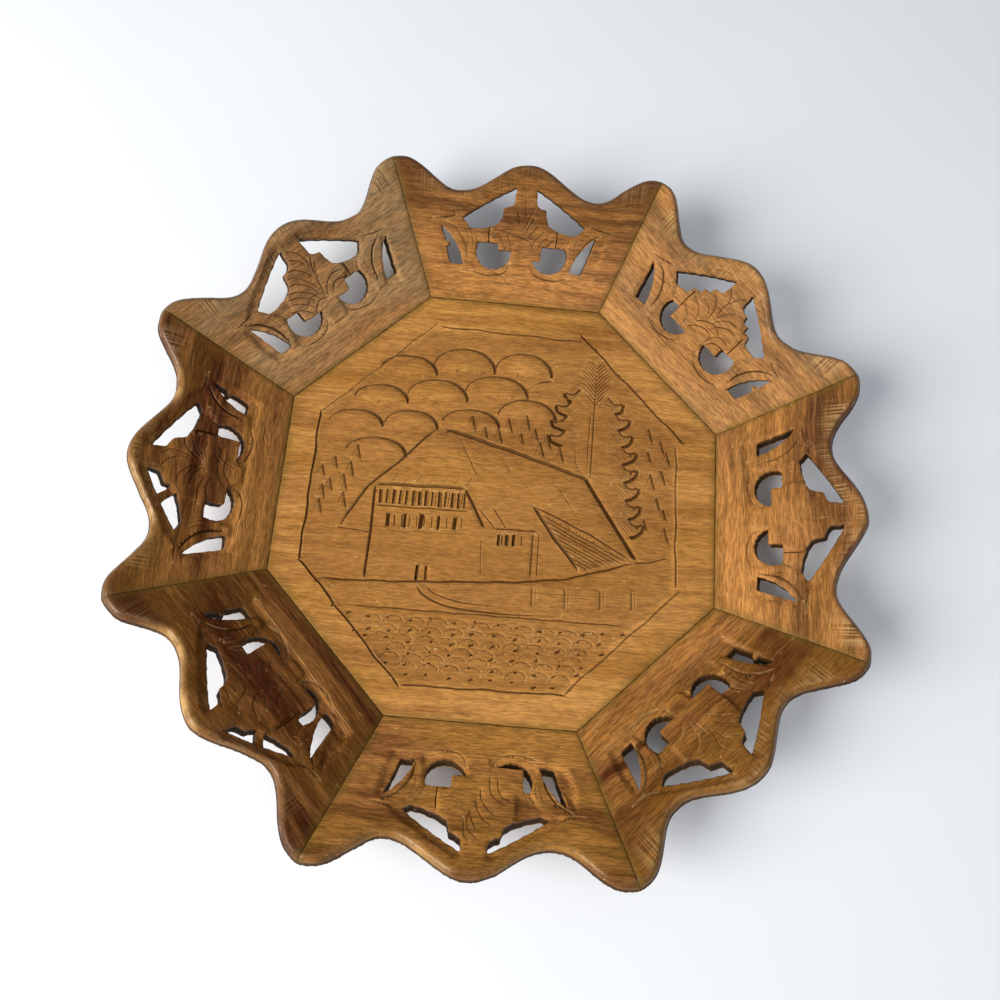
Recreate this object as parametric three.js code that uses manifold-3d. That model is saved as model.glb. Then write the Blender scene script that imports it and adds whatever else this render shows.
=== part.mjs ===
// Octagonal carved serving tray: a flat eight-sided floor board with a sunk picture, and eight flared
// sides, each sawn to a scalloped rim, pierced with six windows and cut back round a leaf. The boards meet
// in glued mitres, and a thin loose tongue is let into every joint. Millimetres, +Z up, standing on z = 0
// with its centre on the Z axis.

import * as THREE from 'three';
import { ConvexGeometry } from 'three/addons/geometries/ConvexGeometry.js';
import { mergeVertices } from 'three/addons/utils/BufferGeometryUtils.js';
import Module from 'manifold-3d';

const wasm = await Module();
wasm.setup();

const radians = THREE.MathUtils.degToRad;

// Boards
const sideCount = 8;
const floorApothem = 91.5; // centre to the middle of a floor edge, on the inside
const floorThickness = 8;
const sideThickness = 7.5;
const flare = radians(30); // how steeply the sides rise from the floor

// Scalloped rim, measured up the slope of a side from the floor's inside edge
const lobeReach = 60; // top of the lobe in the middle of a side
const valleyReach = 46.9; // bottom of the two dips
const tipReach = 58.6; // shoulders beside the mitred tips
const valleyOffset = 30; // middle of the side to each dip
const tipRound = 12; // radius of the rounded tips
const rimRound = 2.4; // round-over along the rim, above and below

// Fretwork field of a side
const footBand = 14.5; // plain wood below the windows
const crownBand = 9.6; // plain wood above them, under the lobe
const fretHalfWidth = 35.5; // middle of the side to the point of the outer slit
const roundRadius = 7.8; // of the round windows
const groundShoulder = 2.2; // width of the slope down to the ground cut back round the leaf

// Picture sunk into the floor
const frameInset = 13.5; // floor edge to the picture's edge
const pictureDepth = 0.75;

// Joints
const glueGap = 0.3;
const tongueThickness = 2.2;
const tongueWidth = 10; // half of it in each board
const floorTongueLength = 48;
const mitreTongueLength = 34;
const mitreTongueStart = 9; // corner of the floor to the near end, along the seam
const tongueClearance = 0.15;

// How fine the curved edges are
const rimSteps = 10; // per half wave of the rim
const tipSteps = 4;
const roundSteps = 2; // across the round-over of the rim
const curveSteps = 4; // per bent edge of a window
const discSteps = 12; // round a round window
const hillSteps = 8; // over a hill

// What follows from them
const halfTurn = Math.PI / sideCount; // from the middle of a side to its mitre
const halfEdge = floorApothem * Math.tan(halfTurn);
const seamSpread = Math.cos(flare) * Math.tan(halfTurn); // how the seam moves out, per unit up the slope
const seamLean = Math.atan(seamSpread);
const footDrop = (floorThickness - sideThickness * Math.cos(flare)) / Math.sin(flare);
const footApothem = floorApothem + sideThickness * Math.sin(flare) - footDrop * Math.cos(flare);
const oversize = 12; // wood left on a blank, to be cut off at its joints

// Each side was sawn and carved by hand. Where its leaf drifts along the side and up it, how far the lobe
// of the rim sways along it, and how far its left and right slits stray. The bites are the corners of the
// leaf's lower lobes over the round windows, in radii from their middle, and the leaf covers the given
// shares of the rim windows. Its ground is cut back so deep, from so far below the windows at its left and
// right end. On the floor beside it, the picture's edge lies so far in from the usual inset and slopes
// down over the shoulder.
const sides = [
  {
    name: 'n', drift: 0.5, lift: -0.6, sway: 1, slits: [0.2, -2.6], bites: [[-0.24, 0.1], [-0.5, -0.35]],
    cover: [0, 0.05], ground: 0.6, arris: [2.1, 3.3], extraTooth: false, bridge: false, frame: 1,
    shoulder: 3.2,
  },
  {
    name: 'nw', drift: -1.5, lift: 0.9, sway: 0.5, slits: [0.6, 0.9], bites: [[0.08, -0.2], [-0.18, -0.1]],
    cover: [0.05, 0], ground: 1.3, arris: [0.7, 2.7], extraTooth: false, bridge: false, frame: -1.2,
    shoulder: 3.6,
  },
  {
    name: 'w', drift: -2.2, lift: 1.6, sway: -1, slits: [2.6, -0.9], bites: [[0.1, -0.45], [0.25, -0.7]],
    cover: [0.35, 0.3], ground: 1.6, arris: [-0.1, 2.3], extraTooth: false, bridge: true, frame: -1.6,
    shoulder: 1.8,
  },
  {
    name: 'sw', drift: -3, lift: 0.9, sway: 1.8, slits: [-1.4, -0.9], bites: [[0.45, -0.7], [0.3, -0.72]],
    cover: [0.55, 0.35], ground: 1.7, arris: [0.2, 3.1], extraTooth: false, bridge: true, frame: -1.8,
    shoulder: 1.8,
  },
  {
    name: 's', drift: -0.8, lift: 0.2, sway: 0.8, slits: [-1.4, -1.6], bites: [[0.55, -0.66], [-0.33, -0.1]],
    cover: [0.45, 0.35], ground: 1.5, arris: [-0.1, 0.9], extraTooth: false, bridge: false, frame: -0.6,
    shoulder: 4.6,
  },
  {
    name: 'se', drift: 1.9, lift: 1.5, sway: 1, slits: [0.6, 0.6], bites: [[0.2, -0.36], [0.1, -0.25]],
    cover: [0.3, 0.25], ground: 1.5, arris: [4.7, 1.1], extraTooth: false, bridge: false, frame: 0.4,
    shoulder: 5,
  },
  {
    name: 'e', drift: 0.3, lift: 0.8, sway: 0.6, slits: [2, 0.2], bites: [[0, -0.08], [-0.12, -0.25]],
    cover: [0.2, 0.2], ground: 1.2, arris: [4.7, 0.5], extraTooth: false, bridge: false, frame: 3.1,
    shoulder: 2,
  },
  {
    name: 'ne', drift: 0.6, lift: 0.2, sway: -2, slits: [1.2, 1.6], bites: [[0.28, -0.25], [-0.06, -0.06]],
    cover: [0.05, 0.2], ground: 1.1, arris: [1.3, 2.3], extraTooth: true, bridge: false, frame: 0,
    shoulder: 1.6,
  },
];

// The fretwork is drawn on a unit field: x from the middle of the side to the point of the outer slit, y
// from the foot band to the crown. Each shape is drawn on the right and mirrored.
const windowEdge = [[0.125, 1], [0.42, 0.85], [0.765, 0.6]]; // crown, bend and corner of the rim window
const windowFoot = [[0.665, 0.485], [0.47, 0.5]]; // its inner edge, from the corner up the leaf
const windowTooth = [[0.3, 0.575]];
const extraWindowTooth = [[0.45, 0.6], [0.36, 0.61], [0.35, 0.68], [0.28, 0.68]];
const windowHead = [[0.26, 0.755], [0.14, 0.8]];
const bridgeTooth = [[0.28, 0.72], [0.36, 0.68], [0.56, 0.86], [0.48, 0.92]]; // left standing across it
const discMiddle = [0.35, 0.23];
const discTop = radians(28); // how far up the rim side the round window is open
const slitEdge = [[0.7, 0.045], [0.75, 0.3], [1, 0.49]]; // inner foot, belly and point
const slitFoot = [0.86, 0.04];
const groundFoot = 0.93;
const groundEdge = [[1.02, 0.2], [1.06, 0.48], [0.82, 0.72], [0.47, 0.93], [0.2, 1.09]];
const leafStem = [[0.1, -0.02], [0.13, 0.1]];
const leafLobes = [[0.41, 0.4], [0.4, 0.56], [0.32, 0.62], [0.29, 0.78], [0.16, 0.83], [0.14, 1], [0.1, 1.2]];
const leafCover = 0.06; // how far the leaf's lobe is drawn over the round window, in radii
const smallLeaf = [
  [0.6, 0], [0.57, 0.2], [0.55, 0.36], [0.66, 0.5], [0.9, 0.58], [1.06, 0.55], [0.9, 0.3], [0.72, 0],
];
const smallLeafSink = 0.3; // share of the ground's depth by which the small leaf beside a slit is lower

// The picture is drawn in millimetres from its middle, with y to the north, at this half width.
const drawnHalf = 78;
const hills = [ // middle of the foot, half width, height
  [-20, 58, 13.2, 10], [6, 58.5, 12.3, 9.7], [-44, 54.5, 12, 7.8], [-54.5, 40.5, 11.2, 7],
  [-30.5, 43.5, 12.8, 8.6], [-5, 47.5, 13.3, 8.6], [-64, 28.5, 11.2, 6.4], [-40.5, 29.5, 11.2, 7.2],
  [9, 37.5, 12.4, 8.8], [-15, 32.5, 12, 7], [-54, 16, 12.5, 7],
];
const hillCut = { left: 3.6, right: 0.3, from: 0.25, to: 1.0 };
const lines = [ // width of the slopes left and right of the path, depth, and the path
  [1.8, 3, 1.2, [[-26, 29.5], [10, 20], [37, 12]]],
  [0.4, 3, 1.25, [[37, 12], [48, -4], [59, -20.5]]],
  [0.3, 1.4, 0.8, [[-29, 29.5], [-44, 12], [-55, 1], [-65, -17]]],
  [0.3, 1.2, 0.8, [[-52, 0], [-51.5, -18], [-52, -36]]],
  [0.3, 2.2, 0.75, [[-71, -39.5], [-40, -38], [10, -34], [30, -31], [57, -22.4]]],
  [2.3, 0.3, 0.7, [[-50, 2.1], [-15, 3.4]]],
  [0.3, 1.5, 0.9, [[-13, 1.6], [-9.5, -4], [-5, -12.5]]],
  [1.9, 0.3, 0.9, [[14, -1], [24, -15], [35, -27.5]]],
  [0.3, 1.1, 0.5, [[15.5, -13.5], [15.5, -31]]],
  [0.3, 1.8, 0.5, [[-57, -49.3], [20, -48.6], [57, -48.4]]],
];
const firEdges = [ // side that the boughs point to, and the notches between them from the top down
  [1, [[43.5, 50], [46.5, 43.5], [48, 37], [50, 29.5], [50.5, 22], [52, 15], [53, 7], [54.5, -0.5]]],
  [-1, [[31, 53], [27.5, 47], [26, 40.5], [25.5, 34], [24.5, 27.5]]],
];
const boughReach = 5.4;
const boughDrop = 2.3;
const firCut = { wide: 1.1, steep: 0.3, depth: 0.85 };
const fadedDepth = 0.06; // of a cut at its ends
const cutLid = 0.15; // how far the cuts are drawn above the ground that they are cut into

// Solids

// A closed geometry with only positions, as a solid that can be cut and joined.
function solid(geometry) {
  const bare = new THREE.BufferGeometry();
  bare.setAttribute('position', geometry.getAttribute('position').clone());
  bare.setIndex(geometry.index);
  const merged = mergeVertices(bare, 1e-4);
  const corners = merged.index.array;
  const kept = [];
  for (let i = 0; i < corners.length; i += 3) {
    const [a, b, c] = corners.slice(i, i + 3);
    if (a !== b && b !== c && c !== a) kept.push(a, b, c);
  }
  const vertProperties = new Float32Array(merged.getAttribute('position').array);
  return new wasm.Manifold(new wasm.Mesh({ numProp: 3, vertProperties, triVerts: new Uint32Array(kept) }));
}

// A solid as a flat-shaded geometry.
function geometryOf(made) {
  const mesh = made.getMesh();
  const positions = new Float32Array(mesh.numVert * 3);
  for (let i = 0; i < mesh.numVert; i++) {
    const at = i * mesh.numProp;
    positions.set(mesh.vertProperties.subarray(at, at + 3), i * 3);
  }
  const indexed = new THREE.BufferGeometry();
  indexed.setAttribute('position', new THREE.BufferAttribute(positions, 3));
  indexed.setIndex(new THREE.BufferAttribute(mesh.triVerts, 1));
  const flat = indexed.toNonIndexed();
  flat.computeVertexNormals();
  return flat;
}

// An eight-sided turned solid. The profile gives [apothem, height] pairs, from the axis back to it.
function octagonal(profile) {
  const points = profile.map(([apothem, height]) => new THREE.Vector2(apothem / Math.cos(halfTurn), height));
  const lathe = new THREE.LatheGeometry(points, sideCount, halfTurn);
  return solid(lathe.rotateX(Math.PI / 2));
}

// A flat shape given a thickness below z = 0.
function slab(shape, thickness, round = 0) {
  const geometry = new THREE.ExtrudeGeometry(shape, {
    depth: thickness - 2 * round,
    bevelEnabled: round > 0,
    bevelThickness: round,
    bevelSize: round,
    bevelOffset: -round,
    bevelSegments: roundSteps,
  });
  return solid(geometry.translate(0, 0, round - thickness));
}

// Side frame: X runs along the side, Y points away from the tray's centre, Z is up. This places what is
// drawn flat on a side's upper face, with u along the side and v up the slope.
const onSlope = new THREE.Matrix4()
  .makeTranslation(0, floorApothem, floorThickness)
  .multiply(new THREE.Matrix4().makeRotationX(flare));

// Rim

const blend = (from, to, share) => from + (to - from) * (1 - Math.cos(Math.PI * share)) / 2;
const tipCentreV = tipReach - tipRound;
const tipCentreU = halfEdge + tipCentreV * seamSpread;

// Half of the rim from the middle of the lobe: down to the dip in half a cosine wave, up to the tip's
// shoulder in another, then round the tip and a little past the seam. Side is 1 for the right half and -1
// for the left.
function rimHalf(side, hand) {
  const points = [];
  const crown = side * hand.sway;
  const dip = crown + valleyOffset;
  for (let i = 0; i <= rimSteps; i++) {
    const share = i / rimSteps;
    const u = crown + valleyOffset * share;
    points.push(new THREE.Vector2(side * u, blend(lobeReach, valleyReach, share)));
  }
  for (let i = 1; i <= rimSteps; i++) {
    const share = i / rimSteps;
    const u = dip + (tipCentreU - dip) * share;
    points.push(new THREE.Vector2(side * u, blend(valleyReach, tipReach, share)));
  }
  const pastSeam = 2 * seamLean;
  for (let i = 1; i <= tipSteps; i++) {
    const angle = pastSeam * i / tipSteps;
    points.push(new THREE.Vector2(
      side * (tipCentreU + tipRound * Math.sin(angle)),
      tipCentreV + tipRound * Math.cos(angle),
    ));
  }
  return points;
}

function sideBlankShape(hand) {
  const right = rimHalf(1, hand);
  const left = rimHalf(-1, hand).slice(1).reverse();
  const footV = -footDrop - oversize;
  const outer = right[right.length - 1].x;
  return new THREE.Shape([
    new THREE.Vector2(-outer, footV),
    ...left,
    ...right,
    new THREE.Vector2(outer, footV),
  ].reverse());
}

// Fretwork

// Places spots of the unit field on a side, each strayed along it by the given distance.
function fieldMap(side, hand) {
  const height = lobeReach - crownBand - footBand;
  return ([x, y], stray = 0) => new THREE.Vector2(
    side * (x * fretHalfWidth + stray) + hand.drift,
    footBand + y * height + hand.lift,
  );
}

// Places spots given in radii from the middle of a round window.
function discMap(side, hand) {
  const middle = fieldMap(side, hand)(discMiddle);
  return ([x, y]) => new THREE.Vector2(middle.x + side * roundRadius * x, middle.y + roundRadius * y);
}

// A spot on the leaf's upper edge, moved out over the rim window: by the share of the way from there up to
// the line between the window's crown and its corner that the leaf covers.
function leafEdge([x, y], share) {
  const [crown, , corner] = windowEdge;
  const line = crown[1] + (corner[1] - crown[1]) * (x - crown[0]) / (corner[0] - crown[0]);
  return [x, y + share * Math.max(0, line - y)];
}

// The window between the leaf's shoulder and the rim: a long side that follows the lobe, and steps where
// the leaf's teeth reach into it.
function rimWindow(side, hand) {
  const at = fieldMap(side, hand);
  const cover = hand.cover[side < 0 ? 0 : 1];
  const [crown, bend, corner] = windowEdge.map((spot) => at(spot));
  const shape = new THREE.Shape();
  shape.moveTo(crown.x, crown.y);
  shape.quadraticCurveTo(bend.x, bend.y, corner.x, corner.y);
  const tooth = hand.extraTooth ? extraWindowTooth : windowTooth;
  for (const spot of [...windowFoot, ...tooth, ...windowHead]) {
    const p = at(leafEdge(spot, cover));
    shape.lineTo(p.x, p.y);
  }
  return shape;
}

// The round window below the leaf: a disc that is open from the foot up, less the corner where the leaf's
// lower lobe lies over it.
function roundWindow(side, hand) {
  const at = discMap(side, hand);
  const [biteX, biteY] = hand.bites[side < 0 ? 0 : 1];
  const start = Math.PI - Math.asin(biteY);
  const end = 2 * Math.PI + discTop;
  const points = [];
  for (let i = 0; i <= discSteps; i++) {
    const angle = start + (end - start) * i / discSteps;
    points.push(at([Math.cos(angle), Math.sin(angle)]));
  }
  points.push(at([biteX, Math.sin(end)]), at([biteX, biteY]));
  return new THREE.Shape(points);
}

// The slit at the end of the field, shaped like half a blade.
function slit(side, hand) {
  const stray = hand.slits[side < 0 ? 0 : 1];
  const at = fieldMap(side, { drift: 0, lift: hand.lift });
  const [innerFoot, belly, point] = slitEdge.map((spot) => at(spot, stray));
  const outerFoot = at(slitFoot, stray);
  const shape = new THREE.Shape();
  shape.moveTo(point.x, point.y);
  shape.lineTo(outerFoot.x, outerFoot.y);
  shape.lineTo(innerFoot.x, innerFoot.y);
  shape.quadraticCurveTo(belly.x, belly.y, point.x, point.y);
  return shape;
}

// A shape as a solid from the given height down through a side, and out below it.
function piercing(shape, top = oversize) {
  const points = shape.getPoints(curveSteps);
  const counterClockwise = THREE.ShapeUtils.isClockWise(points) ? points.reverse() : points;
  const depth = sideThickness + oversize + top;
  const outline = new THREE.Shape(counterClockwise);
  const geometry = new THREE.ExtrudeGeometry(outline, { depth, bevelEnabled: false });
  return solid(geometry.translate(0, 0, top - depth));
}

function fretwork(hand) {
  let cut = piercing(rimWindow(-1, hand));
  if (hand.bridge) {
    const at = fieldMap(-1, hand);
    cut = cut.subtract(piercing(new THREE.Shape(bridgeTooth.map((spot) => at(spot)))));
  }
  cut = cut.add(piercing(rimWindow(1, hand)));
  for (const side of [-1, 1]) {
    cut = cut.add(piercing(roundWindow(side, hand)));
    cut = cut.add(piercing(slit(side, hand)));
  }
  return cut;
}

// Half of the leaf's outline, from the foot of its stem: the lower lobe over the round window, then the
// upper lobes and the neck that joins it to the rim.
function leafHalf(side, hand) {
  const at = fieldMap(side, hand);
  const over = discMap(side, hand);
  const [biteX, biteY] = hand.bites[side < 0 ? 0 : 1];
  const foot = biteY - leafCover;
  const tip = biteX + leafCover;
  const cover = hand.cover[side < 0 ? 0 : 1];
  const [lowerLobe, ...upperLobes] = leafLobes;
  return [
    ...leafStem.map((spot) => at(spot)),
    over([-1, foot]),
    over([tip, foot]),
    over([tip, Math.sin(discTop)]),
    at(lowerLobe),
    ...upperLobes.map((spot) => at(leafEdge(spot, cover))),
  ];
}

// What is cut away from a side's upper face round its leaf: down a sloping shoulder to a flat ground,
// with the leaf left standing, and the small leaves beside the slits a little lower.
function groundCut(hand) {
  const at = (side) => fieldMap(side, hand);
  const mirrored = (half) => [...half(1), ...half(-1).reverse()];
  const arrisV = (end) => footBand - hand.arris[end];
  const outline = [
    new THREE.Vector2(at(-1)([groundFoot, 0]).x, arrisV(0)),
    new THREE.Vector2(at(1)([groundFoot, 0]).x, arrisV(1)),
    ...mirrored((side) => groundEdge.map((spot) => at(side)(spot))),
  ];
  const geometry = new THREE.ExtrudeGeometry(new THREE.Shape(outline), {
    depth: oversize,
    bevelEnabled: true,
    bevelThickness: hand.ground,
    bevelSize: groundShoulder,
    bevelOffset: -groundShoulder,
    bevelSegments: 1,
  });
  let cut = solid(geometry);
  cut = cut.subtract(piercing(new THREE.Shape(mirrored((side) => leafHalf(side, hand))), 2 * oversize));
  for (const side of [-1, 1]) {
    const blade = new THREE.Shape(smallLeaf.map((spot) => at(side)(spot)));
    cut = cut.subtract(piercing(blade, -hand.ground * smallLeafSink));
  }
  return cut;
}

// Joints

// A tongue or its slot, centred on the origin: X along the joint, Y across it, Z through the boards.
function tongueBlock(length, grow = 0) {
  return new THREE.BoxGeometry(
    length + 2 * grow,
    tongueWidth + 2 * grow,
    tongueThickness + 2 * grow,
  );
}

// Where the tongue between the floor and a side lies, in the side frame.
const floorTonguePlace = new THREE.Matrix4()
  .makeTranslation(0, (floorApothem + footApothem) / 2, floorThickness / 2)
  .multiply(new THREE.Matrix4().makeRotationX(flare / 2));

// Where the tongue across a seam lies, in a frame whose Y axis runs out over that seam.
const seamRise = Math.sin(flare);
const seamRun = Math.cos(flare) / Math.cos(halfTurn);
const seamSlope = Math.atan2(seamRise, seamRun);
const cornerRadius = floorApothem / Math.cos(halfTurn);
const seamDepth = sideThickness * Math.cos(flare) / Math.cos(seamSlope) / 2;
const mitreTonguePlace = new THREE.Matrix4()
  .makeTranslation(0, cornerRadius, floorThickness)
  .multiply(new THREE.Matrix4().makeRotationX(seamSlope))
  .multiply(new THREE.Matrix4().makeTranslation(0, mitreTongueStart + mitreTongueLength / 2, -seamDepth))
  .multiply(new THREE.Matrix4().makeRotationZ(Math.PI / 2));

// The wedge of space that one side may fill, with half the glue gap kept to each neighbour.
function sideSector() {
  const reach = 2 * (cornerRadius + lobeReach + oversize);
  const back = glueGap / 2 / Math.sin(halfTurn);
  const shape = new THREE.Shape([
    new THREE.Vector2(0, back),
    new THREE.Vector2(reach * Math.tan(halfTurn), reach + back),
    new THREE.Vector2(-reach * Math.tan(halfTurn), reach + back),
  ]);
  const height = lobeReach + floorThickness + oversize;
  const geometry = new THREE.ExtrudeGeometry(shape, { depth: height + 2 * oversize, bevelEnabled: false });
  return solid(geometry.translate(0, 0, -oversize));
}

// The floor's own outline carried on above and below it, and wider by the given gap.
function floorEnvelope(gap) {
  const lean = (footApothem - floorApothem) / floorThickness;
  const apothemAt = (z) => footApothem + gap - lean * z;
  return octagonal([
    [0, -oversize],
    [apothemAt(-oversize), -oversize],
    [apothemAt(floorThickness + 2 * oversize), floorThickness + 2 * oversize],
    [0, floorThickness + 2 * oversize],
  ]);
}

// Picture

const pictureScale = (floorApothem - frameInset) / drawnHalf;
const pictureGround = floorThickness - pictureDepth;
const drawn = ([x, y]) => new THREE.Vector2(x, y).multiplyScalar(pictureScale);

// The corners of an eight-sided ring at one height, from the distance of each edge to the middle.
function ringCorners(apothems, height) {
  const turn = 2 * halfTurn;
  return apothems.map((apothem, i) => {
    const next = apothems[(i + 1) % sideCount];
    const along = (next - apothem * Math.cos(turn)) / Math.sin(turn);
    return new THREE.Vector3(-along, apothem, height).applyAxisAngle(new THREE.Vector3(0, 0, 1), turn * i);
  });
}

// What is cut away over the picture's ground, with its sloping shoulders carried on above the floor.
function pictureField() {
  const edge = (share) => sides.map((hand) => floorApothem - frameInset - hand.frame - hand.shoulder * share);
  return solid(new ConvexGeometry([
    ...ringCorners(edge(-1), floorThickness + pictureDepth),
    ...ringCorners(edge(1), pictureGround),
  ]));
}

// A cut along a path into the picture's ground, with slopes of the given widths on its left and right. Its
// depth is a function of the share of the path that is passed, and fades out at both ends.
function groove(path, left, right, depthAt) {
  const positions = [];
  const end = path.length - 1;
  path.forEach((p, i) => {
    const way = path[Math.min(i + 1, end)].clone().sub(path[Math.max(i - 1, 0)]).normalize();
    const depth = i === 0 || i === end ? fadedDepth : depthAt(i / end);
    positions.push(p.x + way.y * right, p.y - way.x * right, pictureGround + cutLid);
    positions.push(p.x, p.y, pictureGround - depth);
    positions.push(p.x - way.y * left, p.y + way.x * left, pictureGround + cutLid);
  });
  const corners = 3;
  const last = corners * end;
  const index = [0, 2, 1, last, last + 1, last + 2];
  for (let i = 0; i < last; i += corners) {
    for (let k = 0; k < corners; k++) {
      const a = i + k;
      const b = i + (k + 1) % corners;
      index.push(a, b, b + corners, a, b + corners, a + corners);
    }
  }
  const geometry = new THREE.BufferGeometry();
  geometry.setAttribute('position', new THREE.Float32BufferAttribute(positions, 3));
  geometry.setIndex(index);
  return solid(geometry);
}

// A path with a spot added near each end, so that a cut along it keeps its depth up to there.
function withRunOut(path, share = 0.06) {
  const first = path[0].clone().lerp(path[1], share);
  const last = path[path.length - 1].clone().lerp(path[path.length - 2], share);
  return [path[0], first, ...path.slice(1, -1), last, path[path.length - 1]];
}

// A rounded hill: a cut over its crest that deepens towards its right foot, with the land behind it
// sloping in.
function hillGroove([x, y, halfWidth, height]) {
  const path = [];
  for (let i = 0; i <= hillSteps; i++) {
    const angle = Math.PI * (1 - i / hillSteps);
    path.push(drawn([x + halfWidth * Math.cos(angle), y + height * Math.sin(angle)]));
  }
  const { left, right, from, to } = hillCut;
  return groove(withRunOut(path), left, right, (share) => from + (to - from) * share);
}

// The edge of the fir on one side: boughs that hang out to a thorn, and turn back in to the next notch.
function firGroove([side, notches]) {
  const path = [];
  for (const [x, y] of notches) path.push(drawn([x, y]), drawn([x + side * boughReach, y - boughDrop]));
  path.pop();
  const { wide, steep, depth } = firCut;
  return groove(path, side > 0 ? wide : steep, side > 0 ? steep : wide, () => depth);
}

// Pieces

function floorBoard() {
  let board = octagonal([
    [0, 0],
    [footApothem, 0],
    [floorApothem, floorThickness],
    [0, floorThickness],
  ]);
  board = board.subtract(pictureField());
  for (const hill of hills) board = board.subtract(hillGroove(hill));
  for (const [left, right, depth, path] of lines) {
    board = board.subtract(groove(withRunOut(path.map(drawn)), left, right, () => depth));
  }
  for (const edge of firEdges) board = board.subtract(firGroove(edge));
  const slot = solid(tongueBlock(floorTongueLength, tongueClearance)).transform(floorTonguePlace.toArray());
  for (let i = 0; i < sideCount; i++) board = board.subtract(slot.rotate([0, 0, 360 * i / sideCount]));
  return board;
}

function sidePanel(hand) {
  const blank = slab(sideBlankShape(hand), sideThickness, rimRound);
  const carved = blank.subtract(fretwork(hand)).subtract(groundCut(hand)).transform(onSlope.toArray());
  const floorSlot = solid(tongueBlock(floorTongueLength, tongueClearance))
    .transform(floorTonguePlace.toArray());
  const mitreSlot = solid(tongueBlock(mitreTongueLength, tongueClearance))
    .transform(mitreTonguePlace.toArray());
  return carved
    .intersect(sideSector())
    .subtract(floorEnvelope(glueGap))
    .subtract(floorSlot)
    .subtract(mitreSlot.rotate([0, 0, THREE.MathUtils.radToDeg(halfTurn)]))
    .subtract(mitreSlot.rotate([0, 0, -THREE.MathUtils.radToDeg(halfTurn)]));
}

// Finishes

const boardWood = new THREE.MeshStandardMaterial({ color: 0xa5682f, roughness: 0.55, metalness: 0 });
const sideWood = new THREE.MeshStandardMaterial({ color: 0x8a5226, roughness: 0.5, metalness: 0 });
const tongueWood = new THREE.MeshStandardMaterial({ color: 0xc79a62, roughness: 0.8, metalness: 0 });

function piece(name, geometry, material) {
  const mesh = new THREE.Mesh(geometry, material);
  mesh.name = name;
  return mesh;
}

// Assembly

const tray = new THREE.Group();
tray.name = 'octagonal_tray';
tray.add(piece('floor_board', geometryOf(floorBoard()), boardWood));

sides.forEach((hand, i) => {
  const station = new THREE.Group();
  station.rotation.z = 2 * halfTurn * i;
  station.add(piece(`side_${hand.name}`, geometryOf(sidePanel(hand)), sideWood));

  const floorTongue = piece(`floor_tongue_${hand.name}`, tongueBlock(floorTongueLength), tongueWood);
  floorTongue.applyMatrix4(floorTonguePlace);
  station.add(floorTongue);
  tray.add(station);

  const seam = new THREE.Group();
  seam.rotation.z = 2 * halfTurn * (i + 0.5);
  const next = sides[(i + 1) % sides.length];
  const mitreName = `mitre_tongue_${hand.name}_${next.name}`;
  const mitreTongue = piece(mitreName, tongueBlock(mitreTongueLength), tongueWood);
  mitreTongue.applyMatrix4(mitreTonguePlace);
  seam.add(mitreTongue);
  tray.add(seam);
});

export default tray;
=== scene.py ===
"""Looks of an octagonal carved serving tray: eight pierced sides round a floor with a carved picture.

Everything is in metres in the part's own frame, but the sizes below are in millimetres, as a joiner's
are. A carved board is drawn flat, in (u, v) on its upper face, triangulated along its cuts, given its
relief and then set in its place in the tray.
"""

import logging
import math
from dataclasses import dataclass, field
from enum import Enum
from typing import Callable, Sequence

import bpy
import numpy as np
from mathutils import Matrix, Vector
from mathutils.geometry import delaunay_2d_cdt

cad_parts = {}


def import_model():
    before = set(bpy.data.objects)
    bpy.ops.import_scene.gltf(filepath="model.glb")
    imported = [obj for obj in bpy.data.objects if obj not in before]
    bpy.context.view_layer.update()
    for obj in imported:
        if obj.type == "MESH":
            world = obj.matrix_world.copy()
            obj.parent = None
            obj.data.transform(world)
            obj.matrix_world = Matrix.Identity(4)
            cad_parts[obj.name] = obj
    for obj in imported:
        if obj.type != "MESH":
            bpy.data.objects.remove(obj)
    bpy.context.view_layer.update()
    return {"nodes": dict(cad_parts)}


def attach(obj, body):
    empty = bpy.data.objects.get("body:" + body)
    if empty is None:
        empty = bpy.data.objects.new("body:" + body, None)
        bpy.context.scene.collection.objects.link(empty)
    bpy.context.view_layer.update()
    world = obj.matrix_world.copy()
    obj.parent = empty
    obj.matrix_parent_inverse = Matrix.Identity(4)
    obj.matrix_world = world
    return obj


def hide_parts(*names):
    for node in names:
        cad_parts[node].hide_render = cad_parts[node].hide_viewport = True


logging.basicConfig(level=logging.INFO, format="%(message)s")
log = logging.getLogger("tray")

MM = 0.001
FAR = 1e9
TINY = 1e-9
Points = np.ndarray
Triple = tuple[float, float, float]
Spot = tuple[float, float]
Mark = Callable[[Points], Points]


# Sizes


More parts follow.
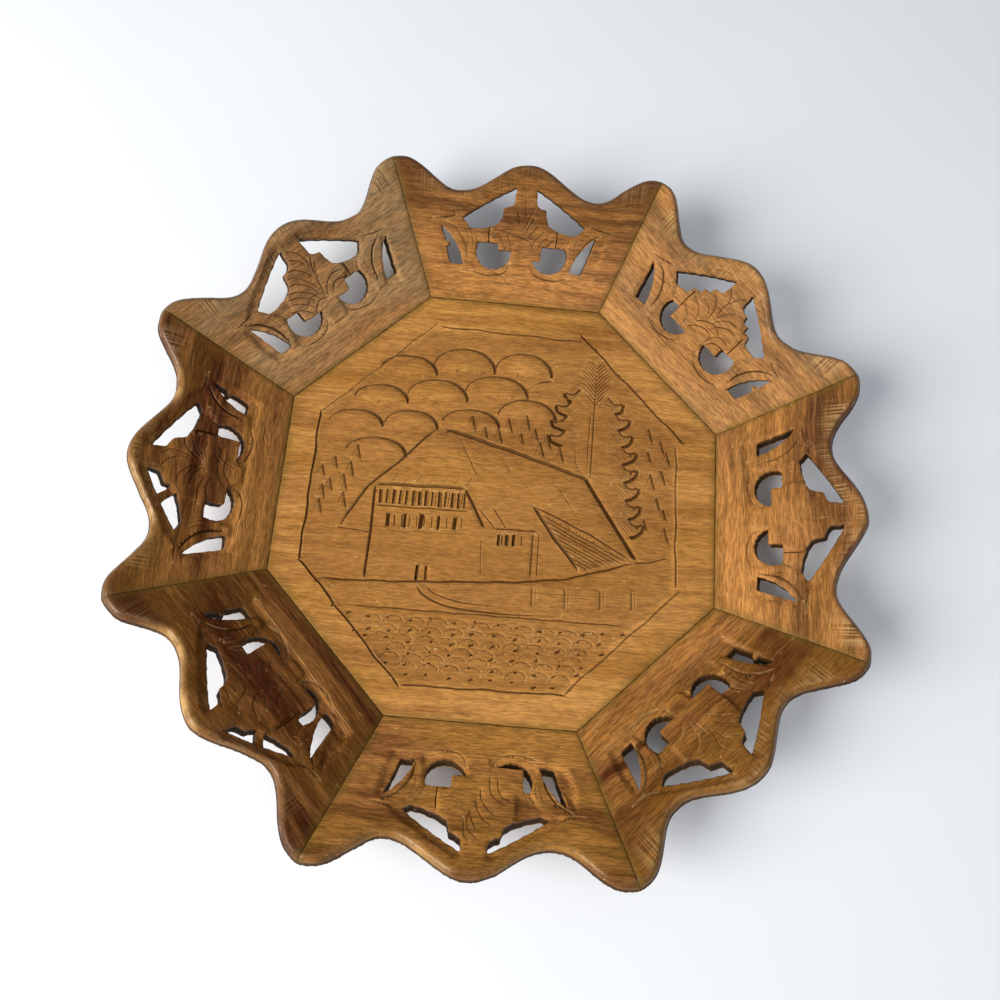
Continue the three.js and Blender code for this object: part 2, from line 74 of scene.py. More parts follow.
@dataclass(frozen=True)
class TraySize:
    """Sizes that all the boards share, in millimetres.

    Attributes:
        sides: number of sides.
        floor_apothem: centre to the middle of a floor edge, on the upper face.
        floor_thickness, side_thickness: of the boards.
        flare: slope of the sides, in radians.
        glue_gap: width of the glue between two boards.
        eased, eased_width: how far edges are eased down, and over what width.
        planed: height of the plane's slow waves.
    """

    sides: int = 8
    floor_apothem: float = 91.5
    floor_thickness: float = 8.0
    side_thickness: float = 7.5
    flare: float = math.radians(30)
    glue_gap: float = 0.08
    eased: float = 0.16
    eased_width: float = 0.35
    planed: float = 0.12

    @property
    def half_turn(self) -> float:
        """Angle from the middle of a side to its mitre."""
        return math.pi / self.sides

    @property
    def half_edge(self) -> float:
        """Half the length of a floor edge."""
        return self.floor_apothem * math.tan(self.half_turn)

    @property
    def seam_spread(self) -> float:
        """How far the seam moves out along the side for each unit up the slope."""
        return math.cos(self.flare) * math.tan(self.half_turn)

    @property
    def foot_drop(self) -> float:
        """How much further down the slope the foot reaches on the underside than on the upper face."""
        rise = self.floor_thickness - self.side_thickness * math.cos(self.flare)
        return rise / math.sin(self.flare)

    @property
    def foot_apothem(self) -> float:
        """Centre to the middle of a floor edge, on the underside."""
        out = self.side_thickness * math.sin(self.flare) - self.foot_drop * math.cos(self.flare)
        return self.floor_apothem + out


@dataclass(frozen=True)
class RimSize:
    """The scalloped rim of a side, measured up the slope, in millimetres.

    Attributes:
        lobe, valley, tip: heights of its middle lobe, its valleys and its tips.
        valley_offset: from the middle of the lobe to a valley.
        tip_round, round_over: radius of the tips, and along the edge.
        shake, shake_length: height and length of the waves that the saw left.
        seam_run: distance from a seam over which they fade.
    """

    lobe: float = 60.0
    valley: float = 46.9
    tip: float = 58.6
    valley_offset: float = 30.0
    tip_round: float = 12.0
    round_over: float = 2.4
    shake: float = 0.3
    shake_length: float = 46.0
    seam_run: float = 4.0


@dataclass(frozen=True)
class FretSize:
    """The pierced field of a side, in millimetres.

    Attributes:
        foot_band, crown_band: plain wood below and above it.
        half_width: half its width.
        disc_radius: radius of the round windows.
        shoulder: width of the slope down to its sunk ground.
        leaf_slope, leaf_rise: width of the slope up to the leaf, and the share of it outside the leaf.
        blade_slope, blade_rise, blade_height: the same of the small leaves, and their relative height.
        sag: how far the leaf falls between its swellings.
        lip, lip_width: how far the windows' edges are eased, and over what width.
        shake, shake_length: height and length of the waves that the saw left.
    """

    foot_band: float = 14.5
    crown_band: float = 9.6
    half_width: float = 35.5
    disc_radius: float = 7.8
    shoulder: float = 2.2
    leaf_slope: float = 1.1
    leaf_rise: float = 0.4
    blade_slope: float = 1.6
    blade_rise: float = 0.3
    blade_height: float = 0.7
    sag: float = 0.42
    lip: float = 0.22
    lip_width: float = 0.36
    shake: float = 0.09
    shake_length: float = 5.5


@dataclass(frozen=True)
class MeshSteps:
    """Spacing of the points of the meshes, in millimetres.

    Attributes:
        window, rim, seam: along the windows, the rim and the seams.
        rim_rows, seam_rows: distances of the rows of points inside them.
        seam_row: along the rows inside the seams.
        edge_gap, finest: of a cut's points from the edge, and from each other.
        plain_gap: of plain points from the others, as a share of their spacing.
    """

    window: float = 0.45
    rim: float = 0.55
    seam: float = 0.8
    rim_rows: tuple[float, ...] = (0.08, 0.33, 0.75, 1.35, 1.95, 2.4)
    seam_rows: tuple[float, ...] = (0.16, 0.38)
    seam_row: float = 0.9
    edge_gap: float = 0.22
    finest: float = 0.16
    plain_gap: float = 0.62


@dataclass(frozen=True)
class Hand:
    """What differs from side to side in hand work, in millimetres.

    Attributes:
        name: the side's name, after the point of the compass.
        drift, lift: how far the leaf lies from its place along the side and up it.
        slits: how far the left and right slit stray.
        bites: corners of the leaf's lower lobes over the round windows, in radii from their middle.
        cover: shares of the left and right rim window that the leaf covers.
        sway: how far the lobe of the rim lies from the middle of the side.
        deep: depth of the veins.
        kerfs: sides of the leaf where a saw cut joins the two windows, -1 or 1.
        extra_tooth: whether the rim windows have one more tooth.
        bridge: whether wood was left standing across the left rim window.
        nib: the side whose slit has a nib, or 0.
        soft: radius of the corners of the windows.
        relief: depth of the ground round the leaf.
        arris: height of the foot band at the left and right end of the field.
        tone: how light the board is; this and the next five go from 0 to 1.
        gold: how yellow its finish has gone.
        worn: how strong the painted highlight and the painted shade along its rim are.
        fresh: how light its strokes are, where they cut the finish.
        crown: how much darker it is towards the rim.
        rasp: how plain the scratches near its rim are.
        glints: where along the rim its painted highlight is strongest, as u and half the length.
        veins: strokes of the leaf's veins, each as x, y of its points in hundredths of the field.
        foot: strokes on the foot band, each as u, v of three points.
    """

    name: str
    drift: float
    lift: float
    slits: Spot
    bites: tuple[Spot, Spot]
    cover: Spot
    sway: float
    deep: float
    kerfs: tuple[int, ...]
    extra_tooth: bool = False
    bridge: bool = False
    nib: int = 0
    soft: float = 0.5
    relief: float = 1.4
    arris: Spot = (13.5, 13.5)
    tone: float = 0.5
    gold: float = 0.5
    worn: float = 0.1
    fresh: float = 0.0
    crown: float = 0.2
    rasp: float = 0.5
    glints: tuple[Spot, ...] = ()
    veins: tuple[tuple[int, ...], ...] = ()
    foot: tuple[tuple[float, ...], ...] = ()


TRAY = TraySize()
RIM = RimSize()
FRET = FretSize()
STEPS = MeshSteps()
HANDS = (
    Hand(
        name="n", drift=0.5, lift=-0.6, slits=(0.2, -2.6), bites=((-0.24, 0.1), (-0.5, -0.35)),
        cover=(0, 0.05), sway=1, deep=0.42, kerfs=(-1, 1), nib=-1, soft=0.7, relief=0.6,
        arris=(12.4, 11.2), tone=0.49, gold=0.32, crown=0.4, rasp=0.3,
        foot=((-19, 15.2, -10, 13, -2, 7.6), (8, 11, 18, 12, 30, 8.6)),
        veins=(
            (0, 92, 1, 76, 3, 60), (-9, 74, -7, 64, -4, 54), (12, 76, 6, 66, 2, 52),
            (14, 66, 8, 58, 2, 46), (20, 58, 12, 50, 6, 42), (27, 52, 17, 42, 12, 31),
            (33, 47, 23, 37, 19, 27), (40, 43, 30, 33, 25, 20),
            (-42, 47, -25, 48, -5, 43, 10, 37, 18, 22), (-40, 38, -30, 40, -22, 31, -20, 20),
            (-20, 46, -15, 35, -12, 22), (-33, 47, -27, 41, -24, 34),
        ),
    ),
    Hand(
        name="nw", drift=-1.5, lift=0.9, slits=(0.6, 0.9), bites=((0.08, -0.2), (-0.18, -0.1)),
        cover=(0.05, 0), sway=0.5, deep=0.5, kerfs=(1,), soft=1.0, relief=1.3, arris=(13.8, 11.8),
        tone=0.62, gold=0.05, crown=0.3, rasp=0.8,
        foot=((-26, 12.4, -21, 14.6, -16, 14.4), (12, 12.6, 18, 14.2, 25, 12)),
        veins=(
            (-8, 97, 2, 88, 7, 76, 5, 65), (-11, 87, -1, 79, 4, 68), (-28, 77, -12, 74, 0, 61, 3, 49),
            (-33, 70, -18, 67, -5, 53, 1, 40), (-33, 62, -20, 60, -8, 48, -2, 34),
            (-38, 56, -25, 52, -12, 42, -5, 31), (-41, 50, -28, 46, -15, 36, -9, 27),
            (-45, 44, -32, 40, -20, 30, -13, 19), (-46, 36, -35, 33, -25, 24, -19, 13),
            (14, 79, 8, 68, 4, 50, 1, 30), (15, 71, 9, 61, 6, 49), (40, 45, 22, 47, 9, 39, 3, 27),
            (38, 35, 21, 38, 10, 28), (-28, 29, -14, 38, 6, 34), (-22, 19, -9, 30, 6, 27),
        ),
    ),
    Hand(
        name="w", drift=-2.2, lift=1.6, slits=(2.6, -0.9), bites=((0.1, -0.45), (0.25, -0.7)),
        cover=(0.35, 0.3), sway=-1, deep=0.45, kerfs=(1,), bridge=True, nib=1, soft=1.1, relief=1.6,
        arris=(14.6, 12.2), tone=0.5, gold=0.45, worn=0.8, crown=0.4,
        glints=((-24, 7), (-8, 5), (28, 6)),
        foot=((-26, 9.6, -19, 11.6, -12, 7.4), (9, 5.4, 16, 9.8, 24, 8)),
        veins=(
            (-10, 89, 1, 80, 7, 68, 6, 52), (4, 91, 12, 81, 13, 69, 8, 56),
            (-29, 68, -15, 68, -2, 57, 4, 43), (-28, 60, -13, 60, 0, 50, 5, 41),
            (-24, 54, -10, 52, 2, 42), (37, 70, 22, 67, 12, 57, 6, 46),
            (38, 62, 25, 59, 14, 51, 8, 44), (37, 52, 25, 53, 14, 47, 6, 42), (32, 44, 20, 45, 8, 40),
            (-44, 43, -25, 45, -4, 38), (-38, 33, -22, 37, -5, 32), (41, 36, 26, 37, 13, 30, 6, 19),
            (-21, 14, -6, 26, 17, 28, 33, 23), (-13, 11, 0, 20, 14, 19, 20, 10),
            (29, 28, 19, 28, 11, 20, 9, 9),
        ),
    ),
    Hand(
        name="sw", drift=-3.0, lift=0.9, slits=(-1.4, -0.9), bites=((0.45, -0.7), (0.3, -0.72)),
        cover=(0.55, 0.35), sway=1.8, deep=0.48, kerfs=(-1,), bridge=True, nib=1, soft=0.7, relief=1.7,
        arris=(14.3, 11.4), tone=0.14, gold=0.4, worn=1.0, fresh=0.3, crown=0.05, rasp=0.2,
        glints=((7, 9), (30, 7)),
        veins=(
            (8, 90, 18, 87, 30, 88), (10, 80, 20, 77, 31, 79), (12, 70, 24, 66, 38, 67),
            (22, 60, 34, 56, 47, 57), (20, 50, 35, 48, 56, 49), (20, 43, 36, 41, 57, 43),
            (18, 37, 35, 35, 54, 37), (16, 30, 30, 28, 44, 30), (-23, 68, -11, 66, -2, 58, 0, 48),
            (-6, 80, 3, 76, 7, 66, 12, 58), (-28, 46, -18, 41, -12, 31, -10, 20),
            (-20, 56, -9, 50, -4, 40), (-11, 30, 0, 37, 14, 36, 25, 27), (-2, 17, 10, 25, 25, 22),
        ),
    ),
    Hand(
        name="s", drift=-0.8, lift=0.2, slits=(-1.4, -1.6), bites=((0.55, -0.66), (-0.33, -0.1)),
        cover=(0.45, 0.35), sway=0.8, deep=0.42, kerfs=(1,), soft=0.8, relief=1.5, arris=(14.6, 13.6),
        tone=0.63, gold=0.9, worn=0.5, fresh=0.35, crown=0.48, rasp=0.1, glints=((16, 9),),
        veins=(
            (-17, 73, -7, 67, 0, 54, 1, 42), (-20, 62, -12, 57, -4, 45, -3, 32),
            (-37, 47, -27, 43, -21, 33, -20, 20), (-29, 49, -17, 43, -12, 31, -12, 17),
            (-3, 88, 6, 80, 9, 70, 7, 58), (5, 89, 11, 85, 12, 75, 13, 66), (-1, 79, 4, 69, 8, 55),
            (32, 60, 22, 54, 15, 44), (36, 48, 26, 42, 20, 32),
        ),
    ),
    Hand(
        name="se", drift=1.9, lift=1.5, slits=(0.6, 0.6), bites=((0.2, -0.36), (0.1, -0.25)),
        cover=(0.3, 0.25), sway=1, deep=0.36, kerfs=(), nib=-1, soft=0.5, relief=1.5,
        arris=(9.8, 13.4), tone=0.39, gold=0.5, worn=0.5, fresh=0.6, crown=0.62, rasp=0.6,
        glints=((4, 8),),
        veins=(
            (-8, 91, 1, 82, 3, 71, -1, 59, -2, 49), (-21, 78, -10, 70, -4, 60, -2, 51),
            (-12, 76, -6, 68, -3, 57), (-26, 64, -17, 58, -10, 47), (-31, 57, -22, 51, -14, 41),
            (4, 58, 3, 47, 4, 34), (16, 49, 10, 42, 7, 31), (24, 62, 16, 56, 9, 48),
            (30, 41, 20, 36, 12, 26),
        ),
    ),
    Hand(
        name="e", drift=0.3, lift=0.8, slits=(2.0, 0.2), bites=((0.0, -0.08), (-0.12, -0.25)),
        cover=(0.2, 0.2), sway=0.6, deep=0.16, kerfs=(1,), soft=0.8, relief=1.2, arris=(9.8, 14),
        tone=0.52, gold=0.33, fresh=0.3, rasp=1.0, crown=0.3,
        veins=(
            (3, 84, 5, 68, 4, 52), (-10, 66, -3, 58, 2, 47), (24, 58, 13, 55, 5, 46),
            (30, 42, 18, 42, 7, 36),
        ),
    ),
    Hand(
        name="ne", drift=0.6, lift=0.2, slits=(1.2, 1.6), bites=((0.28, -0.25), (-0.06, -0.06)),
        cover=(0.05, 0.2), sway=-2, deep=0.55, kerfs=(-1, 1), extra_tooth=True, nib=1, soft=0.35,
        relief=1.1, arris=(13.2, 12.2), tone=0.7, gold=0.24, crown=0.28, rasp=1.0,
        foot=((-28, 12.8, -10, 11.6, 8, 11.8), (9, 13.2, 16, 12.8, 22, 10.4)),
        veins=(
            (-18, 93, -8, 87, -2, 77, -2, 66, 1, 52), (14, 93, 6, 88, 1, 79, -2, 69),
            (16, 72, 9, 68, 3, 58, -1, 49), (28, 63, 15, 61, 6, 53, 1, 44),
            (34, 55, 21, 54, 10, 47, 5, 39), (-23, 74, -13, 67, -7, 56, -6, 43),
            (-28, 60, -17, 58, -10, 50, -9, 43), (-39, 55, -26, 50, -18, 42, -15, 33),
            (-43, 40, -31, 36, -25, 27, -25, 18), (-15, 35, -3, 44, 9, 46, 21, 40),
            (-18, 24, -8, 33, 5, 36, 15, 32), (39, 38, 26, 42, 16, 36, 10, 21),
            (41, 30, 29, 33, 20, 30, 15, 22),
        ),
    ),
)


# Curves in a board's plane


def polyline(*points: Spot) -> Points:
    """Returns the points as an array with one row each."""
    return np.array(points, float)


def arc(
    cx: float, cy: float, rx: float, start: float, end: float, ry: float | None = None, steps: int = 14
) -> Points:
    """Draws an arc of an ellipse.

    Formula: centre plus (rx cos a, ry sin a) for a from start to end.

    Args:
        cx, cy: the centre.
        rx, ry: the half axes; ry is rx if left out.
        start, end: angles in degrees, counter-clockwise from +u.
        steps: number of chords.

    Returns:
        Its points.
    """
    angle = np.radians(np.linspace(start, end, steps + 1))
    return np.column_stack((cx + rx * np.cos(angle), cy + (ry or rx) * np.sin(angle)))


def smooth(points: Sequence[Spot], steps: int = 6) -> Points:
    """Draws a Catmull-Rom curve through points.

    Formula: on each span, a cubic whose end slopes are half the difference of the points around it.

    Args:
        points: the points that it passes.
        steps: number of chords on each span.

    Returns:
        Its points.
    """
    p = np.asarray(points, float)
    p = np.vstack((2 * p[0] - p[1], p, 2 * p[-1] - p[-2]))
    t = np.linspace(0, 1, steps, endpoint=False)[None, :, None]
    a, b, c, d = (p[i : len(p) - 3 + i, None, :] for i in range(4))
    square, cube = 2 * a - 5 * b + 4 * c - d, 3 * b - 3 * c + d - a
    curve = 0.5 * (2 * b + (c - a) * t + square * t**2 + cube * t**3)
    return np.vstack((curve.reshape(-1, 2), p[-2]))


def bend(start: Points, middle: Points, end: Points, share: Points) -> Points:
    """Returns a parabola that leaves start towards middle: (1-t)^2 start + 2t(1-t) middle + t^2 end."""
    return (1 - share) ** 2 * start + 2 * share * (1 - share) * middle + share**2 * end


def rounded(ring: Points, radius: float) -> Points:
    """Rounds the corners of a closed ring.

    Formula: each becomes a parabola that starts the radius before it, or nearly half way along an edge.

    Args:
        ring: the ring.
        radius: where each round starts.

    Returns:
        The rounded ring.
    """
    before, after = np.roll(ring, 1, axis=0), np.roll(ring, -1, axis=0)
    made = []
    for a, b, c in zip(before, ring, after):
        first, last = (b + (q - b) * min(0.45, radius / max(math.dist(q, b), 1e-6)) for q in (a, c))
        made.append(bend(first, b, last, np.linspace(0, 1, 5)[:, None]))
    return np.vstack(made)


def resample(path: Points, step: float, closed: bool = False) -> Points:
    """Divides a path evenly between its corners.

    Args:
        path: the path.
        step: length of the new spans, about.
        closed: whether it runs back to its start.

    Returns:
        The new points, with all its own among them.
    """
    ring = np.vstack((path, path[:1])) if closed else path
    spans = np.diff(ring, axis=0)
    count = np.maximum(1, np.round(np.hypot(spans[:, 0], spans[:, 1]) / step).astype(int))
    start = np.repeat(ring[:-1], count, axis=0)
    span = np.repeat(spans, count, axis=0)
    first = np.repeat(np.cumsum(count) - count, count)
    share = (np.arange(count.sum()) - first) / np.repeat(count, count)
    made = start + span * share[:, None]
    return made if closed else np.vstack((made, ring[-1]))


def heading(path: Points) -> Points:
    """Returns the direction of a path at each of its points, as vectors of length 1."""
    way = np.gradient(path, axis=0)
    return way / np.maximum(np.hypot(way[:, 0], way[:, 1]), TINY)[:, None]


def wobble(x: Points, seed: int, amount: float, length: float) -> Points:
    """Makes smooth noise along x: the unevenness of a line cut by hand.

    Formula: three sine waves of random phase, each half as high and 1 / 1.7 as long as the last.

    Args:
        x: places along the line.
        seed: picks the noise.
        amount: height of the first wave.
        length: its length.

    Returns:
        The noise at each place.
    """
    phase = np.random.default_rng(seed).uniform(0, 2 * np.pi, 3)
    waves = [amount / 2**k * np.sin(2 * np.pi * x * 1.7**k / length + phase[k]) for k in range(3)]
    return np.sum(waves, axis=0)


def undulation(points: Points, seed: int, amount: float, length: float) -> Points:
    """Makes the slow rise and fall of a surface planed by hand.

    Formula: the mean of four sine waves in random directions, times the amount.

    Args:
        points: where it is wanted.
        seed, length: pick the waves, and their length, about.
        amount: the most that it can rise.
    """
    rng = np.random.default_rng(seed)
    total = np.zeros(len(points))
    for k in range(4):
        turn = rng.uniform(0, np.pi)
        along = points @ (math.cos(turn), math.sin(turn))
        total += np.sin(2 * np.pi * along / length / rng.uniform(0.7, 1.4) + rng.uniform(0, 6.3))
    return amount * total / 4


def inside(points: Points, ring: Points) -> Points:
    """Returns which points lie inside a ring: a ray along +u crosses it an odd number of times."""
    hit = np.zeros(len(points), bool)
    x, y = points.T
    for (ax, ay), (bx, by) in zip(ring, np.roll(ring, -1, axis=0)):
        if ay != by:
            crosses = (ay > y) != (by > y)
            hit ^= crosses & (x < (bx - ax) * (y - ay) / (by - ay) + ax)
    return hit


def nearest(points: Points, path: Points) -> tuple[Points, Points, Points]:
    """Finds the nearest spot of an open path for each point.

    Args:
        points: the points.
        path: the path.

    Returns:
        The distance, the side (+1 on the left of the path, -1 on its right) and the share of the
        path's length at the nearest spot.
    """
    a, span = path[:-1], np.diff(path, axis=0)
    length = np.hypot(span[:, 0], span[:, 1])
    rel = points[:, None, :] - a[None]
    t = np.clip((rel * span).sum(-1) / np.maximum(length**2, 1e-12), 0, 1)
    off = rel - t[..., None] * span
    square = (off**2).sum(-1)
    k = square.argmin(1)
    row = np.arange(len(points))
    side = np.where(span[k, 0] * rel[row, k, 1] - span[k, 1] * rel[row, k, 0] >= 0, 1.0, -1.0)
    run = np.concatenate(([0], np.cumsum(length)))
    return np.sqrt(square[row, k]), side, (run[k] + t[row, k] * length[k]) / max(run[-1], TINY)


def ring_distance(points: Points, ring: Points, batch: int = 20000) -> Points:
    """Returns the distance to a closed ring, positive inside, for a batch of points at a time."""
    gap = np.full(len(points), FAR)
    closed = np.vstack((ring, ring[:1]))
    for first in range(0, len(points), batch):
        part = slice(first, first + batch)
        gap[part] = nearest(points[part], closed)[0]
    return np.where(inside(points, ring), gap, -gap)


def ring_distance_near(points: Points, ring: Points, reach: float) -> Points:
    """Returns the distance to a ring for points within reach of its box, and a large one elsewhere."""
    gap = np.full(len(points), FAR)
    near = np.nonzero(((points > ring.min(0) - reach) & (points < ring.max(0) + reach)).all(1))[0]
    if len(near):
        gap[near] = nearest(points[near], np.vstack((ring, ring[:1])))[0]
    return gap


def left_part(ring: Points, a: Points, b: Points) -> Points:
    """Returns the part of a ring on the left of the line from a to b."""
    way = b - a
    side = way[0] * (ring[:, 1] - a[1]) - way[1] * (ring[:, 0] - a[0])
    kept = []
    for k in range(len(ring)):
        n = (k + 1) % len(ring)
        if side[k] >= 0:
            kept.append(ring[k])
        if (side[k] >= 0) != (side[n] >= 0):
            kept.append(ring[k] + (ring[n] - ring[k]) * side[k] / (side[k] - side[n]))
    return np.array(kept)


def ramp(x: Points, low: float, high: float) -> Points:
    """Returns 0 below low, 1 above high and the S curve t^2 (3 - 2t) between them."""
    t = np.clip((x - low) / (high - low), 0, 1)
    return t * t * (3 - 2 * t)


def ellipse_share(points: Points, x: float, y: float, rx: float, ry: float) -> Points:
    """Returns ((u - x) / rx)^2 + ((v - y) / ry)^2: 0 in the middle of an ellipse and 1 on its edge."""
    return ((points[:, 0] - x) / rx) ** 2 + ((points[:, 1] - y) / ry) ** 2


def everywhere(value: float) -> Mark:
    """Returns a mark that has one value all over a board."""
    return lambda points: np.full(len(points), value)


# Cuts


class Blade(Enum):
    """Section of a cut: the share of its width on the left and right of its deepest line."""

    VEE = (0.5, 0.5)
    STEEP_LEFT = (0.12, 0.88)
    STEEP_RIGHT = (0.88, 0.12)


@dataclass(frozen=True)
class Cut:
    """One stroke of a gouge or knife, in millimetres.

    Attributes:
        path: where its deepest line runs.
        width: across the cut at the surface.
        depth: of its deepest line.
        blade: its section.
        fade: shares of its length over which it comes up to the surface at its start and end.
        hollow: how hollow its slopes are, from 1 for straight ones.
    """

    path: Points
    width: float = 0.9
    depth: float = 0.5
    blade: Blade = Blade.VEE
    fade: Spot = (0.15, 0.15)
    hollow: float = 1.0

    def swell(self, share: Points) -> Points:
        """Returns how open the cut is along its length: the root of the share of a fade passed."""
        start, end = self.fade
        opening = np.ones_like(share)
        if start:
            opening = np.minimum(opening, np.sqrt(np.clip(share / start, 0.03, 1)))
        if end:
            opening = np.minimum(opening, np.sqrt(np.clip((1 - share) / end, 0.03, 1)))
        return opening

    def depth_at(self, points: Points) -> tuple[Points, Points]:
        """Tells how deep the cut is.

        Formula: depth times swell times (1 - distance / reach on that side) to the power of hollow.

        Returns:
            The numbers of the points near the cut, and its depth at them.
        """
        low, high = self.path.min(0) - self.width, self.path.max(0) + self.width
        near = np.nonzero(((points > low) & (points < high)).all(1))[0]
        if not len(near):
            return near, np.zeros(0)
        gap, side, share = nearest(points[near], self.path)
        open_ = self.swell(share)
        reach = self.width * open_ * np.where(side > 0, *self.blade.value)
        slope = np.clip(1 - gap / np.maximum(reach, 1e-6), 0, 1)
        return near, self.depth * open_ * slope**self.hollow

    def guides(self, step: float, wide: float = 1.1) -> Points:
        """Lays rows of points along the deepest line and both edges, for the triangles to follow.

        Args:
            step: spacing along the rows.
            wide: width of a slope from which it gets one more row, half way down it.

        Returns:
            The points.
        """
        line = resample(self.path, step)
        way = heading(line)
        left = np.column_stack((-way[:, 1], way[:, 0]))
        open_ = self.swell(np.linspace(0, 1, len(line)))[:, None]
        rows = [line]
        for share, sign in zip(self.blade.value, (1, -1)):
            reach = self.width * share
            for part in (1.0, 0.5) if reach > wide else (1.0,):
                rows.append(line + sign * left * open_ * reach * part)
        return np.vstack(rows)


# Boards


@dataclass
class Board:
    """A flat board with a carved upper face.

    Attributes:
        outline: outer ring, counter-clockwise.
        windows: rings cut right through.
        cuts: strokes on the upper face.
        relief: height of the upper face before the strokes, at given points.
        underside: height of the lower face at given points.
        place: sets (u, v) and height in the tray; it also takes whether they are on the upper face.
        extra: more points for the triangulation to use.
        marks: what the material reads, by attribute name, as functions of the points.
        pitch: spacing of the plain parts.
        under_pitch: spacing on the underside.
        guide_step: spacing along the strokes.
        narrow_width: width up to which a stroke holds dirt.
    """

    outline: Points
    windows: list[Points]
    cuts: list[Cut]
    relief: Mark
    underside: Mark
    place: Callable[[Points, Points, bool], Points]
    extra: list[Points] = field(default_factory=list)
    marks: dict[str, Mark] = field(default_factory=dict)
    pitch: float = 0.7
    under_pitch: float = 1.6
    guide_step: float = 0.42
    narrow_width: float = 2.3

    def carved(self, points: Points) -> tuple[Points, Points]:
        """Returns the depth of the deepest stroke at each point, and that of the deepest narrow one."""
        depth, narrow = np.zeros(len(points)), np.zeros(len(points))
        for cut in self.cuts:
            near, here = cut.depth_at(points)
            depth[near] = np.maximum(depth[near], here)
            if cut.width < self.narrow_width:
                narrow[near] = np.maximum(narrow[near], here)
        return depth, narrow

    def spread(self, pitch: float, guides: Points, edge: Points) -> Points:
        """Returns the edge, the guides and staggered rows of plain points, none too close together."""
        low, high = self.outline.min(0), self.outline.max(0)
        rows = np.arange(low[1], high[1], pitch * math.sqrt(0.75))
        cols = np.arange(low[0], high[0], pitch)
        grid = np.stack(np.meshgrid(cols, rows), -1)
        grid[1::2, :, 0] += pitch / 2
        taken = Raster(low, high, pitch * STEPS.plain_gap)
        fine = Raster(low, high, STEPS.finest)
        guides = fine.thinned(guides[self.clear(guides, edge)])
        taken.mark(np.vstack((guides, edge)))
        plain = grid.reshape(-1, 2)
        plain = plain[~taken.near(plain)]
        points = np.vstack((edge, guides, plain))
        return points[np.concatenate((np.ones(len(edge), bool), self.within(points[len(edge) :])))]

    def triangulate(self, pitch: float, guides: Points) -> tuple[Points, Points, list[Points]]:
        """Triangulates the board's face.

        Args:
            pitch: spacing of the points away from the guides.
            guides: points that the triangles should follow.

        Returns:
            The points, the triangles (counter-clockwise) and each ring's point numbers.
        """
        rings = [self.outline, *self.windows]
        points = self.spread(pitch, guides, np.vstack(rings))
        ends = np.cumsum([len(ring) for ring in rings])
        loops = [np.arange(end - len(ring), end) for end, ring in zip(ends, rings)]
        edges = [(int(a), int(b)) for loop in loops for a, b in zip(loop, np.roll(loop, -1))]
        out = delaunay_2d_cdt([Vector(p) for p in points.tolist()], edges, [], 0, 1e-7)
        spots = np.array([tuple(p) for p in out[0]])
        moved = np.full(len(points), -1)
        for new, old in enumerate(out[3]):
            moved[old] = new
        tris = np.array(out[2], int)
        tris = tris[self.within(spots[tris].mean(1))]
        a, b, c = (spots[tris[:, k]] for k in range(3))
        turned = (b[:, 0] - a[:, 0]) * (c[:, 1] - a[:, 1]) < (b[:, 1] - a[:, 1]) * (c[:, 0] - a[:, 0])
        tris[turned] = tris[turned][:, ::-1]
        return spots, tris, [moved[loop] for loop in loops]

    def within(self, points: Points) -> Points:
        """Tells which points lie on the board and in none of its windows."""
        ok = inside(points, self.outline)
        for ring in self.windows:
            ok &= ~inside(points, ring)
        return ok

    def clear(self, points: Points, edge: Points) -> Points:
        """Tells which points keep clear of the edge."""
        low = np.minimum(points.min(0), edge.min(0))
        raster = Raster(low, np.maximum(points.max(0), edge.max(0)), STEPS.edge_gap)
        raster.mark(edge)
        return ~raster.near(points)

    def build(self, name: str) -> bpy.types.Object:
        """Returns the board's mesh as an object: both faces and the walls between them."""
        guides = [cut.guides(self.guide_step) for cut in self.cuts] + self.extra
        top, top_tris, top_loops = self.triangulate(self.pitch, np.vstack(guides))
        low, low_tris, low_loops = self.triangulate(self.under_pitch, np.vstack(self.extra))
        cut, narrow = self.carved(top)
        heights = self.relief(top) - cut, self.underside(low)
        upper = self.place(top, heights[0], True)
        lower = self.place(low, heights[1], False)
        walls = []
        for above, below in zip(top_loops, low_loops):
            i, j, k, m = above, np.roll(above, -1), below + len(top), np.roll(below, -1) + len(top)
            walls += [np.column_stack((i, k, m)), np.column_stack((i, m, j))]
        tris = np.vstack((top_tris, low_tris[:, ::-1] + len(top), *walls))
        made = new_mesh(name, np.vstack((upper, lower)) * MM, tris)
        flat = np.vstack((top, low))
        write_vector(made, "grain", np.column_stack((flat, np.concatenate(heights))) * MM)
        write_value(made, "cut", np.concatenate((narrow, np.zeros(len(low)))))
        write_value(made, "wall", np.repeat((0.0, 1.0), (len(top), len(low))))
        for label, mark in self.marks.items():
            write_value(made, label, mark(flat))
        log.info("%s: %d triangles, %d cuts", name, len(tris), len(self.cuts))
        return made


